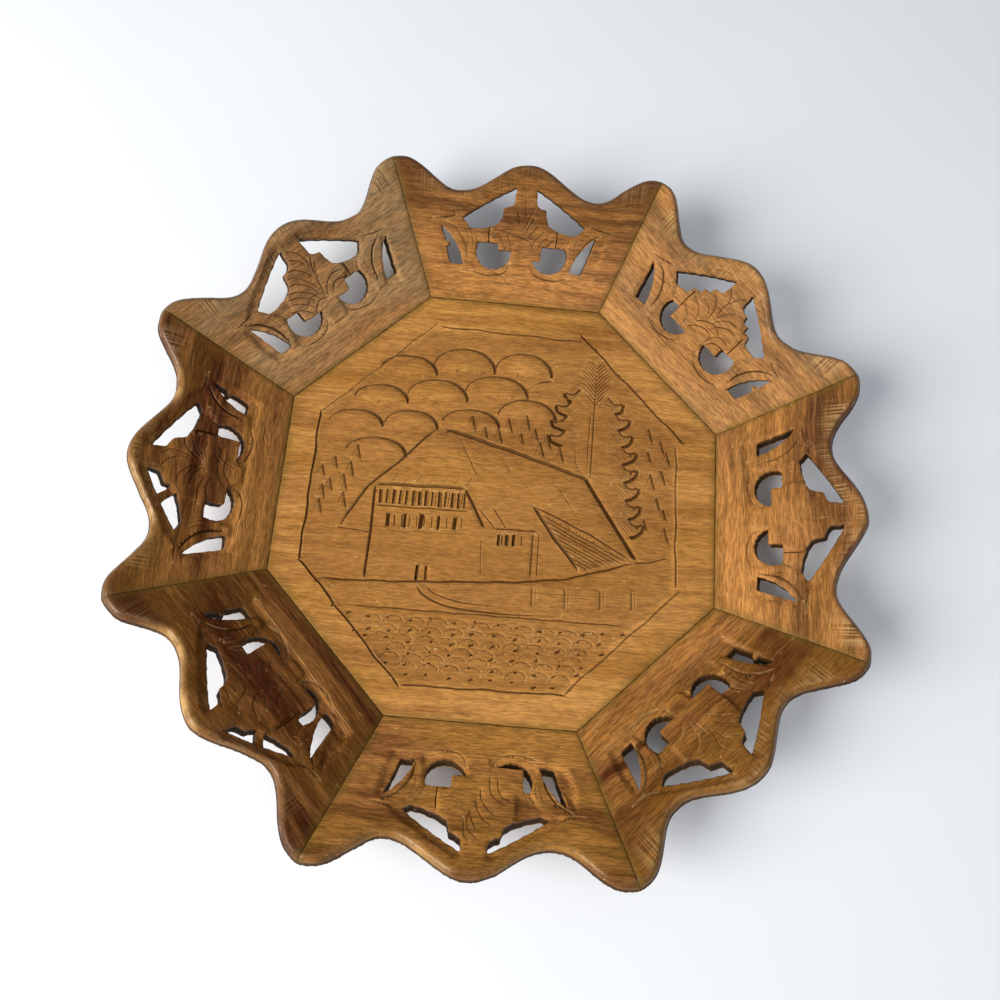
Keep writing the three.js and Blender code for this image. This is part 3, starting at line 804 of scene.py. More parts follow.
class Raster:
    """Marks of occupied cells on a square raster."""

    def __init__(self, low: Points, high: Points, cell: float) -> None:
        """Lays cells of one size over the box from low to high, with some to spare round it."""
        self.low, self.cell = low - 3 * cell, cell
        self.size = np.ceil((high - self.low) / cell).astype(int) + 4
        self.marks = np.zeros(self.size, bool)

    def cells(self, points: Points) -> Points:
        """Returns the column and row of each point's cell."""
        return np.clip(((points - self.low) / self.cell).astype(int), 1, self.size - 2)

    def mark(self, points: Points) -> None:
        """Marks the cells that the points lie in."""
        self.marks[tuple(self.cells(points).T)] = True

    def near(self, points: Points) -> Points:
        """Tells which points lie in a marked cell or beside one."""
        i, j = self.cells(points).T
        return np.any([self.marks[i + a, j + b] for a in (-1, 0, 1) for b in (-1, 0, 1)], axis=0)

    def thinned(self, points: Points) -> Points:
        """Returns the first point in each cell."""
        cells = self.cells(points)
        _, first = np.unique(cells[:, 0] * self.size[1] + cells[:, 1], return_index=True)
        return points[np.sort(first)]


def new_mesh(name: str, points: Points, tris: Points, crease: float = 34.0) -> bpy.types.Object:
    """Makes an object of triangles, in metres, smooth but for edges of the crease angle or more."""
    mesh = bpy.data.meshes.new(name)
    mesh.vertices.add(len(points))
    mesh.vertices.foreach_set("co", points.astype(np.float32).ravel())
    mesh.loops.add(len(tris) * 3)
    mesh.loops.foreach_set("vertex_index", tris.astype(np.int32).ravel())
    mesh.polygons.add(len(tris))
    mesh.polygons.foreach_set("loop_start", np.arange(0, len(tris) * 3, 3, dtype=np.int32))
    mesh.update(calc_edges=True)
    mesh.validate()
    mesh.shade_smooth()
    mesh.set_sharp_from_angle(angle=math.radians(crease))
    made = bpy.data.objects.new(name, mesh)
    bpy.context.collection.objects.link(made)
    return made


def write_value(made: bpy.types.Object, name: str, values: Points) -> None:
    """Stores one number for each vertex."""
    store = made.data.attributes.new(name, "FLOAT", "POINT")
    store.data.foreach_set("value", values.astype(np.float32))


def write_vector(made: bpy.types.Object, name: str, values: Points) -> None:
    """Stores one vector for each vertex."""
    store = made.data.attributes.new(name, "FLOAT_VECTOR", "POINT")
    store.data.foreach_set("vector", values.astype(np.float32).ravel())


# Sides


class SidePanel:
    """One flared side: scalloped rim, six windows and a carved leaf.

    Spots of the fretwork field are given as x from -1 to 1 across it and y from 0 at the foot band to 1
    at the crown, and mirrored where a side of -1 asks for the left half.

    Attributes:
        WINDOW_CROWN, WINDOW_BEND, WINDOW_CORNER, WINDOW_FALL: a rim window's long edge, and its slope.
        TEETH, MORE_TEETH, SHOULDER: the rest of its edge, up the leaf's side.
        BRIDGE: two lines across that window, with a bridge of wood between them.
        LEAF_UPPER, BLADE, GROUND: edge of the leaf above its lower lobe, of the small leaf beside a
            slit, and of the sunk ground.
        SWELLINGS: places on the leaf that stand up, as x, y and radius.
    """

    WINDOW_CROWN, WINDOW_BEND, WINDOW_CORNER = (0.125, 1), (0.42, 0.85), (0.765, 0.6)
    WINDOW_FALL = 0.625
    TEETH = ((0.665, 0.485), (0.56, 0.484), (0.47, 0.5), (0.385, 0.525), (0.3, 0.575))
    MORE_TEETH = ((0.665, 0.485), (0.47, 0.5), (0.45, 0.6), (0.36, 0.61), (0.35, 0.68), (0.28, 0.68))
    SHOULDER = ((0.272, 0.67), (0.26, 0.755), (0.2, 0.765), (0.14, 0.8), (0.135, 0.9))
    BRIDGE = (((-0.48, 0.92), (-0.28, 0.72)), ((-0.36, 0.68), (-0.56, 0.86)))
    LEAF_UPPER = ((0.4, 0.56), (0.32, 0.62), (0.29, 0.78), (0.16, 0.83), (0.14, 1), (0.1, 1.2))
    BLADE = (
        (0.6, 0.0), (0.57, 0.2), (0.55, 0.36), (0.66, 0.5),
        (0.9, 0.58), (1.06, 0.55), (0.9, 0.3), (0.72, 0.0),
    )
    GROUND = ((1.02, 0.2), (1.06, 0.48), (0.82, 0.72), (0.47, 0.93), (0.2, 1.09))
    SWELLINGS = ((0.24, 0.38, 0.26), (0.15, 0.66, 0.2), (0.0, 0.86, 0.2))

    def __init__(self, number: int, hand: Hand) -> None:
        """Takes the side's number, counter-clockwise from the north, and its handwork."""
        self.number, self.hand = number, hand
        self.turn = 2 * TRAY.half_turn * number
        self.rim = self.rim_line()
        self.rings = self.windows()

    def reach(self, v: Points, depth: Points) -> Points:
        """Returns half the side's width at a height up the slope and a depth below its upper face.

        Formula: tan(half turn) times the distance from the centre, less half the glue gap.
        """
        out = TRAY.floor_apothem + v * math.cos(TRAY.flare) + depth * math.sin(TRAY.flare)
        return out * math.tan(TRAY.half_turn) - TRAY.glue_gap / 2 / math.cos(TRAY.half_turn)

    def rim_line(self, steps: int = 40) -> Points:
        """Draws the rim from the left seam to the right one.

        Formula: a cosine wave from the lobe to the valley and on to the tip, each of some steps, then
        the round of the tip as far as the seam, less some noise that fades towards the seams.
        """
        centre_v = RIM.tip - RIM.tip_round
        centre_u = TRAY.half_edge + centre_v * TRAY.seam_spread
        share = np.linspace(0, 1, steps + 1)
        wave = (1 - np.cos(np.pi * share)) / 2
        halves = []
        for side in (-1, 1):
            crown = side * self.hand.sway
            dip = crown + RIM.valley_offset
            inner_v = RIM.lobe + (RIM.valley - RIM.lobe) * wave
            outer_v = RIM.valley + (RIM.tip - RIM.valley) * wave[1:]
            inner = np.column_stack((crown + RIM.valley_offset * share, inner_v))
            outer = np.column_stack((dip + (centre_u - dip) * share[1:], outer_v))
            half = np.vstack((inner, outer, arc(centre_u, centre_v, RIM.tip_round, 90, 50)[1:]))
            past = half[steps + 1 :, 0] > self.reach(half[steps + 1 :, 1], 0)
            half = half[: steps + 1 + np.argmax(past)]
            gap = self.reach(half[-1, 1], 0) - half[-1, 0]
            slope = (half[-1] - half[-2]) / (half[-1, 0] - half[-2, 0])
            half = np.vstack((half, half[-1] + slope * gap / (1 - slope[1] * TRAY.seam_spread)))
            halves.append(half * (side, 1))
        rim = np.vstack((halves[0][:0:-1], halves[1]))
        fade = np.minimum(1, (self.reach(rim[:, 1], 0) - np.abs(rim[:, 0])) / RIM.seam_run)
        rim[:, 1] -= fade * np.abs(wobble(rim[:, 0], 7 + self.number, RIM.shake, RIM.shake_length))
        return rim

    def at(self, x: float, y: float) -> Spot:
        """Returns the place of a spot of the fretwork field."""
        height = RIM.lobe - FRET.crown_band - FRET.foot_band
        return x * FRET.half_width + self.hand.drift, FRET.foot_band + y * height + self.hand.lift

    def spots(self, side: int, spots: Sequence[Spot]) -> Points:
        """Returns the places of some spots on one half of the field."""
        return np.array([self.at(side * x, y) for x, y in spots])

    def leaf_edge(self, side: int, x: float, y: float) -> Spot:
        """Moves a spot of the leaf's upper edge out over the rim window.

        Formula: y goes its share of the way up to the line between the window's crown and its corner.
        """
        line = 1 - self.WINDOW_FALL * (x - self.WINDOW_CROWN[0])
        return self.at(side * x, y + self.hand.cover[side > 0] * max(0.0, line - y))

    def window_top(self, side: int) -> Points:
        """Returns the long edge of a rim window, a parabola from its crown to its corner."""
        ends = self.spots(side, (self.WINDOW_CROWN, self.WINDOW_BEND, self.WINDOW_CORNER))
        return bend(*ends, np.linspace(0, 1, 9)[:, None])

    def rim_window(self, side: int) -> Points:
        """Returns the window between the leaf's shoulder and the rim."""
        teeth = (self.MORE_TEETH if self.hand.extra_tooth else self.TEETH) + self.SHOULDER
        return np.vstack((self.window_top(side), [self.leaf_edge(side, *p) for p in teeth]))

    def split(self, ring: Points) -> list[Points]:
        """Returns the two parts of a rim window where wood was left standing across it."""
        return [left_part(ring, *self.spots(1, line)) for line in self.BRIDGE]

    def round_window(self, side: int) -> Points:
        """Returns the round window below the leaf, with the bite of the leaf's lower lobe."""
        x, y = self.hand.bites[side > 0]
        ring = arc(0, 0, 1, 180 - math.degrees(math.asin(y)), 388, steps=26)
        return self.on_disc(side, np.vstack((ring, (x, ring[-1, 1]), (x, y))))

    def on_disc(self, side: int, spots: Points) -> Points:
        """Returns the places of spots given in radii from the middle of a round window."""
        return spots * (side * FRET.disc_radius, FRET.disc_radius) + self.at(side * 0.35, 0.23)

    def slit(self, side: int) -> Points:
        """Returns the slit at the end of the field, like half a blade, with a nib on some sides."""
        stray = self.hand.slits[side > 0]
        place = lambda x, y: (side * (x * FRET.half_width + stray), self.at(0, y)[1])
        foot, belly, point = (np.array(place(*p)) for p in ((0.7, 0.045), (0.75, 0.3), (1, 0.49)))
        inner = bend(foot, belly, point, np.linspace(0, 1, 9)[1:, None])
        ring = np.vstack((place(0.86, 0.04), foot, inner))
        if self.hand.nib == side:
            nib = ((0.945, 0.31), (0.885, 0.3), (0.9, 0.25), (0.93, 0.24))
            ring = np.vstack((ring, [place(*p) for p in nib]))
        return ring

    def windows(self) -> list[Points]:
        """Returns all the windows of the side as clockwise rings with slightly uneven edges."""
        left = self.rim_window(-1)
        rings = [self.rim_window(1), *(self.split(left) if self.hand.bridge else [left])]
        for side in (-1, 1):
            rings += [self.round_window(side), self.slit(side)]
        made = []
        for k, ring in enumerate(rings):
            ring = resample(rounded(ring, self.hand.soft), STEPS.window, closed=True)
            run = np.arange(len(ring)) * STEPS.window
            seed = 31 * self.number + 3 * k
            stray = [wobble(run, seed + c, FRET.shake, FRET.shake_length) for c in range(2)]
            ring = ring + np.column_stack(stray)
            x, y = ring.T
            area = np.sum(x * np.roll(y, -1) - np.roll(x, -1) * y)
            made.append(ring[::-1] if area > 0 else ring)
        return made

    def outline(self) -> Points:
        """Returns the side's outer ring, counter-clockwise from the left end of its foot."""
        rim = resample(self.rim, STEPS.rim)
        gap = TRAY.glue_gap / 2
        foot = self.reach(gap, 0)
        left, right = (-foot, gap), (foot, gap)
        ends = (left, right), (right, rim[-1]), (rim[0], left)
        base, up, down = (resample(np.array(pair), STEPS.seam) for pair in ends)
        return np.vstack((base[:-1], up[:-1], rim[::-1], down[1:-1]))

    def field_ring(self) -> Points:
        """Returns the edge of the sunk ground: the arris of the foot band, then inside the rim."""
        low = [(self.at(side * 0.93, 0)[0], v) for side, v in zip((-1, 1), self.hand.arris)]
        return np.vstack((low, self.spots(1, self.GROUND), self.spots(-1, self.GROUND[::-1])))

    def leaf_ring(self) -> Points:
        """Returns the leaf with its stem: five lobes, the lower ones over the round windows."""
        halves = []
        for side in (1, -1):
            x, y = self.hand.bites[side > 0]
            stem = self.spots(side, ((0.1, -0.02), (0.13, 0.1)))
            corners = ((-1, y - 0.06), (x + 0.06, y - 0.06), (x + 0.06, 0.47))
            lobe = self.on_disc(side, np.array(corners))
            upper = [self.leaf_edge(side, *spot) for spot in self.LEAF_UPPER]
            halves.append(np.vstack((stem, lobe, self.at(side * 0.41, 0.4), upper)))
        return np.vstack((halves[0], halves[1][::-1]))

    def relief(self, points: Points) -> Points:
        """Tells the height of the upper face before the strokes.

        Formula: the planed face, less the sunk ground times the share that the leaves don't stand up
        from it, less the sag of the leaf between its swellings, less the round-over and eased edges.
        """
        hand = self.hand
        height = undulation(points, 50 + self.number, TRAY.planed, 34) - TRAY.planed
        sunk = hand.relief * np.clip(ring_distance(points, self.field_ring()) / FRET.shoulder, 0, 1)
        leaf = np.clip(ring_distance(points, self.leaf_ring()) / FRET.leaf_slope + FRET.leaf_rise, 0, 1)
        stand = leaf
        for side in (-1, 1):
            blade = ring_distance(points, self.spots(side, self.BLADE))
            blade = np.clip(blade / FRET.blade_slope + FRET.blade_rise, 0, 1)
            stand = np.maximum(stand, FRET.blade_height * blade)
        height -= sunk * (1 - stand)
        dome = np.zeros(len(points))
        for x, y, wide in self.SWELLINGS:
            for side in (-1, 1):
                off = (points - self.at(side * x, y)) / FRET.half_width / wide
                dome = np.maximum(dome, 1 - (off**2).sum(1))
        height -= FRET.sag * leaf * ramp(sunk, 0, hand.relief) * (1 - dome.clip(0, 1))
        height -= self.round_over(points, RIM.round_over)
        height -= TRAY.eased * np.clip(1 - self.seam(points) / TRAY.eased_width, 0, 1)
        for ring in self.rings:
            gap = ring_distance_near(points, ring, 0.6)
            height -= FRET.lip * np.clip(1 - gap / FRET.lip_width, 0, 1)
        return height

    def round_over(self, points: Points, radius: float) -> Points:
        """Tells how far a face has fallen near the rim.

        Formula: a quarter round of radius r, r - sqrt(r^2 - (r - d)^2), with d the distance to the rim.
        """
        gap = np.full(len(points), FAR)
        close = np.nonzero(points[:, 1] > RIM.valley - 3 * radius)[0]
        gap[close] = nearest(points[close], self.rim)[0]
        inward = np.clip(radius - gap, 0, radius)
        return radius - np.sqrt(radius**2 - inward**2)

    def seam(self, points: Points) -> Points:
        """Returns the distance to the nearest seam, along the face."""
        side = (self.reach(points[:, 1], 0) - np.abs(points[:, 0])) / math.hypot(1, TRAY.seam_spread)
        return np.minimum(side, points[:, 1])

    def rim_distance(self, points: Points) -> Points:
        """Returns the distance to the rim."""
        return nearest(points, resample(self.rim, 2.0))[0]

    def shade(self, points: Points) -> Points:
        """Tells how much darker the wood is, with painted shade along the rim.

        Formula: the sum of a ramp up the slope, of a band of painted shade along a rim that has a
        painted highlight, lighter at its glints, and of a narrow band of painted shade on the edge of a
        rim that has none.
        """
        inner = -self.rim_distance(points)
        # painted shade along the rim, lifted at the glints of its painted highlight
        painted_rim_shade = 0.62 * (self.hand.worn - self.rim_highlight_share(points)) * ramp(inner, -3.4, -1)
        # painted shade: a thin dark line on the edge of a rim without a painted highlight
        edge = 0.35 * (1 - self.hand.worn) * ramp(inner, -1.1, -0.3)
        return self.hand.crown * ramp(points[:, 1], 10, 46) + painted_rim_shade + edge

    def rim_highlight_share(self, points: Points) -> Points:
        """Returns the painted rim highlight: the side's share at its glints, a seventh elsewhere."""
        most = np.zeros(len(points))
        for middle, half in self.hand.glints:
            most = np.maximum(most, np.exp(-(((points[:, 0] - middle) / half) ** 2)))
        return self.hand.worn * (0.14 + 0.86 * most)

    def underside(self, points: Points) -> Points:
        """Returns the height of the lower face, below the upper face's plane."""
        return -TRAY.side_thickness + self.round_over(points, RIM.round_over)

    def place(self, points: Points, height: Points, upper: bool) -> Points:
        """Sets points of the side in the tray.

        Formula: (v, height) is turned by the flare and moved out to the floor's edge, then the side is
        turned to its place. On the lower face the ends and the foot move out to their mitres.
        """
        u, v = points[:, 0].copy(), points[:, 1].copy()
        wide = self.reach(v, 0)
        if upper:
            near_seam = ramp(np.abs(u) / wide, 0.97, 1)
            u = u + np.sign(u) * near_seam * (self.reach(v, -height) - wide)
        else:
            near_seam = ramp(np.abs(u) / wide, 0.88, 1)
            v = v - TRAY.foot_drop * (1 - ramp(v, 0, 9))
            u = u + np.sign(u) * ((self.reach(v, -height) - wide) * near_seam)
        y = TRAY.floor_apothem + v * math.cos(TRAY.flare) - height * math.sin(TRAY.flare)
        z = TRAY.floor_thickness + v * math.sin(TRAY.flare) + height * math.cos(TRAY.flare)
        c, s = math.cos(self.turn), math.sin(self.turn)
        return np.column_stack((c * u - s * y, s * u + c * y, z))

    def cuts(self) -> list[Cut]:
        """Returns all the strokes on the side."""
        made = [cut for side in (-1, 1) for cut in self.border_cuts(side)] + self.vein_cuts()
        arris = resample(self.field_ring()[:2] + (0, 0.15), 1.5)
        made.append(Cut(arris, 0.55, 0.16 * self.hand.relief, Blade.VEE, (0.05, 0.05)))
        for stroke in self.hand.foot:
            path = smooth(np.array(stroke).reshape(-1, 2), 9)
            made.append(Cut(path, 0.7, 0.3, Blade.VEE, (0.3, 0.3)))
        return made

    def border_cuts(self, side: int) -> list[Cut]:
        """Returns the strokes round the leaf on one half: shoulder at the rim, small leaf and arms."""
        curve = lambda *spots: smooth(self.spots(side, spots))
        outer, inner = (Blade.STEEP_LEFT, Blade.STEEP_RIGHT)[:: side]
        deep = self.hand.relief
        blade = curve((1.0, 0.54), (0.83, 0.46), (0.7, 0.28), (0.67, 0.08))
        blade_tip = curve((0.84, 0.62), (0.97, 0.585), (1.12, 0.56))
        foot = curve((0.13, 0.1), (0.2, -0.01), (0.4, -0.06), (0.62, -0.02))
        made = [
            Cut(self.window_top(side), 4.6, 0.4 * deep, outer, (0.05, 0.1)),
            Cut(blade, 1.3, 0.65 * deep, inner, (0.25, 0.2)),
            Cut(blade_tip, 1.0, 0.6, outer, (0.2, 0.6)),
            Cut(foot, 1.1, 0.5, outer, (0.3, 0.3)),
            Cut(curve((0.2, 1.02), (0.34, 0.98), (0.46, 0.9)), 0.6, 0.3, Blade.VEE, (0.3, 0.5)),
        ]
        if side in self.hand.kerfs:
            kerf = curve((0.42, 0.56), (0.425, 0.45), (0.42, 0.34))
            made.append(Cut(kerf, 0.5, 1.5, Blade.VEE, (0, 0)))
        for k in range(4):
            x = 0.49 + 0.055 * k
            foot = (x - 0.01 + 0.01 * k, 0.12 + 0.03 * k)
            path = curve((x + 0.06, 0.44 + 0.015 * k), (x, 0.34), foot)
            made.append(Cut(path, 0.55, 0.2 * deep, Blade.VEE, (0.3, 0.4)))
        return made

    def vein_cuts(self) -> list[Cut]:
        """Returns a narrow stroke for each vein of the leaf, and a wide one for the slope into it."""
        rng = np.random.default_rng(20 + self.number)
        made = []
        for stroke in self.hand.veins:
            path = smooth(self.spots(1, np.array(stroke).reshape(-1, 2) / 100))
            slope = Blade.STEEP_LEFT if path[-1, 0] > path[0, 0] else Blade.STEEP_RIGHT
            deep = self.hand.deep * rng.uniform(0.85, 1.15)
            made.append(Cut(path, 0.7, deep, fade=(0.1, 0.2)))
            made.append(Cut(path, 2.3, 0.6 * deep, slope, (0.1, 0.2)))
        return made

    def edge_rows(self) -> list[Points]:
        """Returns rows of points inside the rim, the seams and the windows, for their slopes."""
        rim = resample(self.rim, STEPS.rim)
        way = heading(rim)
        inward = np.column_stack((way[:, 1], -way[:, 0]))
        rows = [rim + inward * d for d in STEPS.rim_rows]
        v = np.arange(0.4, RIM.tip, STEPS.seam_row)
        u = np.arange(-TRAY.half_edge, TRAY.half_edge, STEPS.seam_row)
        for d in STEPS.seam_rows:
            for sign in (-1, 1):
                rows.append(np.column_stack((sign * (self.reach(v, 0) - d / math.cos(0.34)), v)))
            rows.append(np.column_stack((u, np.full(len(u), TRAY.glue_gap / 2 + d))))
        for ring in self.rings:
            way = heading(ring)
            rows.append(ring + np.column_stack((-way[:, 1], way[:, 0])) * FRET.lip_width)
        return rows

    def build(self) -> bpy.types.Object:
        """Makes the side and returns its object."""
        marks = {
            "seam": self.seam,
            "rim": self.rim_distance,
            "board": everywhere(self.hand.tone),
            "gold": everywhere(self.hand.gold),
            # strength of the painted highlight along the rim
            "worn": self.rim_highlight_share,
            "rasp": everywhere(self.hand.rasp),
            "fresh": everywhere(self.hand.fresh),
            # darkening, including painted shade along the rim
            "shade": self.shade,
        }
        shape = self.outline(), self.rings, self.cuts(), self.relief, self.underside, self.place
        made = Board(*shape, self.edge_rows(), marks).build(f"carved_side_{self.hand.name}")
        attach(made, "root")
        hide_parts(f"side_{self.hand.name}")
        return made


# Floor


class Landscape:
    """The carved picture on the floor: hills, a farmhouse, a fir, a fence and a meadow.

    Distances are in millimetres from the middle of the floor, with y towards the north side. The sides
    of the frame are numbered counter-clockwise from the east.

    Attributes:
        FRAME, FRAME_DEPTH, FRAME_STEEP: distance of each line of the frame from the middle, its depth,
            and the numbers of those with one steep flank.
        SHOULDER, SUNK: width of the slope inside each line, and depth of the ground.
        HILLS, SWELL: middle and half axes of each hill, from the furthest, and how far it rises.
        ROOF, ROOF_RISE, ROOF_SLOPE: ring of the house's roof, how far it rises and over what width.
        TREES: feet of the small trees left of the house, behind its ridge and at the right edge.
        SHADES: ellipses that are darker or lighter: middle, half axes and how much.
        BOUGHS: notches between the boughs of the fir, down its right and its left side.
        EVEN: fade of a stroke that keeps its depth nearly to its ends.
    """

    FRAME = (74.9, 78.0, 77.0, 79.2, 79.6, 79.8, 78.6, 77.6)
    FRAME_DEPTH = (0.5, 0.75, 0.5, 0.4, 0.75, 0.75, 0.6, 0.45)
    FRAME_STEEP = (1, 4, 5)
    SHOULDER = (2.0, 1.6, 3.2, 3.6, 1.8, 1.8, 4.6, 5.0)
    SUNK = 0.75
    HILLS = (
        (-20, 58, 13.2, 10), (6, 58.5, 12.3, 9.7), (-44, 54.5, 12, 7.8), (-54.5, 40.5, 11.2, 7),
        (-30.5, 43.5, 12.8, 8.6), (-5, 47.5, 13.3, 8.6), (-64, 28.5, 11.2, 6.4),
        (-40.5, 29.5, 11.2, 7.2), (9, 37.5, 12.4, 8.8), (-15, 32.5, 12, 7), (-54, 16, 12.5, 7),
    )
    SWELL = 0.65
    ROOF = ((-26, 29.5), (37, 12), (59, -20.5), (37, -29), (15, -1), (-14, 4), (-52, 2), (-60, -10))
    ROOF_RISE, ROOF_SLOPE = 0.3, 5
    TREES = (
        (-75, 3), (-70, 8), (-64, 5), (-75, -5), (-71, -2), (-66, -1.5), (-74.5, -12), (-66, -10),
        (-61, 12), (-9, 27), (-3, 25), (2, 31), (8, 25), (13, 28), (19, 24), (24, 19), (9, 32),
        (16, 21), (-15, 30), (62, 22), (67, 27), (70, 22), (64, 10), (69, 13), (66, 1), (69, -3),
        (62, -7), (70, -12), (63, 31),
    )
    SHADES = ((-5, -8, 55, 26, -0.13), (5, -44, 65, 8, 0.1), (-58, 25, 22, 35, 0.08))
    BOUGHS = {
        1: (
            (44, 51), (47, 44), (48.5, 36.5), (50.5, 29), (51, 21),
            (52, 13), (53, 5), (54.5, -3), (55.5, -11),
        ),
        -1: ((32, 54), (28.5, 48), (27, 41), (26.5, 34), (25.5, 27)),
    }
    EVEN = (0.06, 0.06)

    def cuts(self) -> list[Cut]:
        """Returns all the strokes of the picture."""
        parts = (self.frame, self.hills, self.small_trees, self.house, self.fir, self.yard, self.meadow)
        return [cut for part in parts for cut in part()]

    def relief(self, points: Points) -> Points:
        """Tells the height of the picture's ground before the strokes.

        Formula: less the sunk depth times the share of the shoulder passed, plus (1 - r^2) of the swell
        on the far half of each hill, plus the rise of the roof.
        """
        turn = 2 * TRAY.half_turn * np.arange(TRAY.sides)
        inward = np.array(self.FRAME) - points @ np.array((np.cos(turn), np.sin(turn)))
        height = -self.SUNK * ramp((inward / np.array(self.SHOULDER)).min(1), 0, 1)
        swell = np.zeros(len(points))
        for x, y, rx, ry in self.HILLS:
            off = 1 - ((points[:, 0] - x) / rx) ** 2 - ((points[:, 1] - y) / ry) ** 2
            swell = np.where((off > 0) & (points[:, 1] > y - 1), self.SWELL * off, swell)
        roof = ring_distance(points, np.array(self.ROOF, float))
        swell += self.ROOF_RISE * np.clip(roof / self.ROOF_SLOPE, 0, 1)
        return height + swell

    def shade(self, points: Points) -> Points:
        """Returns how much darker the wood is: less on the house, and more on the yard."""
        made = np.zeros(len(points))
        for *place, much in self.SHADES:
            made += much * np.clip(1 - ellipse_share(points, *place), 0, 1)
        return made

    def gold(self, points: Points) -> Points:
        """Returns how yellow the finish has gone: most on the house."""
        return 0.5 + 0.45 * np.clip(1.3 - ellipse_share(points, -5, -6, 58, 26), 0, 1)

    def frame(self) -> list[Cut]:
        """Carves the lines of the frame.

        Formula: each lies at its apothem, turned a little, with noise, and its ends overshoot.
        """
        made = []
        for k, (apothem, depth) in enumerate(zip(self.FRAME, self.FRAME_DEPTH)):
            turn = 2 * TRAY.half_turn * k
            out = np.array((math.cos(turn), math.sin(turn)))
            along = np.array((-out[1], out[0]))
            half = apothem * math.tan(TRAY.half_turn)
            run = np.linspace(-half - 0.4, half + (3.2 if k == 1 else 0.6), 40)[:, None]
            path = out * (apothem + 0.6 * (k % 3 - 1) * run / half) + along * run
            path += out * wobble(run[:, 0], 90 + k, 0.22, 24)[:, None]
            blade = Blade.STEEP_RIGHT if k in self.FRAME_STEEP else Blade.VEE
            made.append(Cut(path, 1.3, depth, blade, (0.03, 0.03)))
        return made

    def hill(
        self, place: tuple[float, ...], start: float = 176, end: float = 2, deep: float = 1.0
    ) -> list[Cut]:
        """Carves a rounded hill: land that slopes in behind it, and a cut, deeper at its right foot.

        Args:
            place: its middle and half axes.
            start, end: angles of the ends of its line, in degrees.
            deep: share of the usual depth.
        """
        x, y, rx, ry = place
        path = arc(x, y, rx, start, end, ry, 22)
        return [
            Cut(path, 7.0, 0.5 * deep, Blade.STEEP_RIGHT, (0.4, 0.05), 1.5),
            Cut(path, 0.9, 0.62 * deep, Blade.STEEP_RIGHT, (0.03, 0.03)),
            Cut(path[9:], 1.7, 1.1 * deep, Blade.STEEP_RIGHT, (0.8, 0.0)),
        ]

    def hills(self) -> list[Cut]:
        """Returns rows of overlapping hills, part of one more and the crest of the nearest."""
        made = [cut for place in self.HILLS for cut in self.hill(place)]
        made += self.hill((20, 48, 12, 8), 178, 98, 0.5)
        made.append(Cut(smooth([(-70, 10), (-48, 14), (-22, 17), (-6, 15)]), 0.8, 0.2))
        return made

    def tree(self, x: float, y: float, tall: float) -> list[Cut]:
        """Returns a small tree on its foot: two strokes from its top, and a nick for its shadow."""
        left = polyline((x, y + tall), (x - 0.24 * tall, y + 0.1 * tall))
        right = polyline((x + 0.1, y + tall), (x + 0.3 * tall, y))
        return [
            Cut(left, 0.7, 0.3, Blade.VEE, (0.1, 0.5)),
            Cut(right, 1.6, 0.55, Blade.STEEP_LEFT, (0.1, 0.15)),
            Cut(polyline((x + 0.02 * tall, y + 0.7 * tall), (x + 0.05 * tall, y)), 0.5, 0.2),
        ]

    def small_trees(self) -> list[Cut]:
        """Returns the groves, each tree a little off its place."""
        rng = np.random.default_rng(12)
        made = []
        for x, y in self.TREES:
            x, y = x + rng.uniform(-0.8, 0.8), y + rng.uniform(-0.8, 0.8)
            made += self.tree(x, y, rng.uniform(5.2, 7.8))
        return made

    def ticks(
        self, low: Sequence[Spot], high: Sequence[Spot], count: int, width: float, depth: float,
        blade: Blade = Blade.VEE,
    ) -> list[Cut]:
        """Carves short strokes, unevenly spaced, between a lower and an upper line.

        Args:
            low, high: the two ends of each line.
            count: number of strokes.
            width, depth, blade: of the strokes, which vary by a quarter.
        """
        rng = np.random.default_rng(count)
        share = np.linspace(0, 1, count)[:, None]
        low, high = np.array(low, float), np.array(high, float)
        feet = low[0] + (low[1] - low[0]) * share + rng.uniform(-0.22, 0.22, (count, 2))
        heads = high[0] + (high[1] - high[0]) * share + rng.uniform(-0.22, 0.22, (count, 2))
        return [
            Cut(np.array((a, b)), width * k, depth * k, blade, self.EVEN)
            for a, b, k in zip(feet, heads, rng.uniform(0.75, 1.2, count))
        ]

    def lines(self, *rows: tuple) -> list[Cut]:
        """Carves straight or bent lines with a slight shake of the hand.

        Args:
            rows: each line's width, depth, blade and fade, and then the spots that it passes.
        """
        made = []
        for width, depth, blade, fade, *points in rows:
            path = resample(polyline(*points), 2.0)
            seed = int(abs(points[0][0] * 7 + points[0][1] * 13 + points[-1][0])) + 1
            path[:, 1] += wobble(path[:, 0], seed, 0.12, 17)
            made.append(Cut(path, width, depth, blade, fade))
        return made

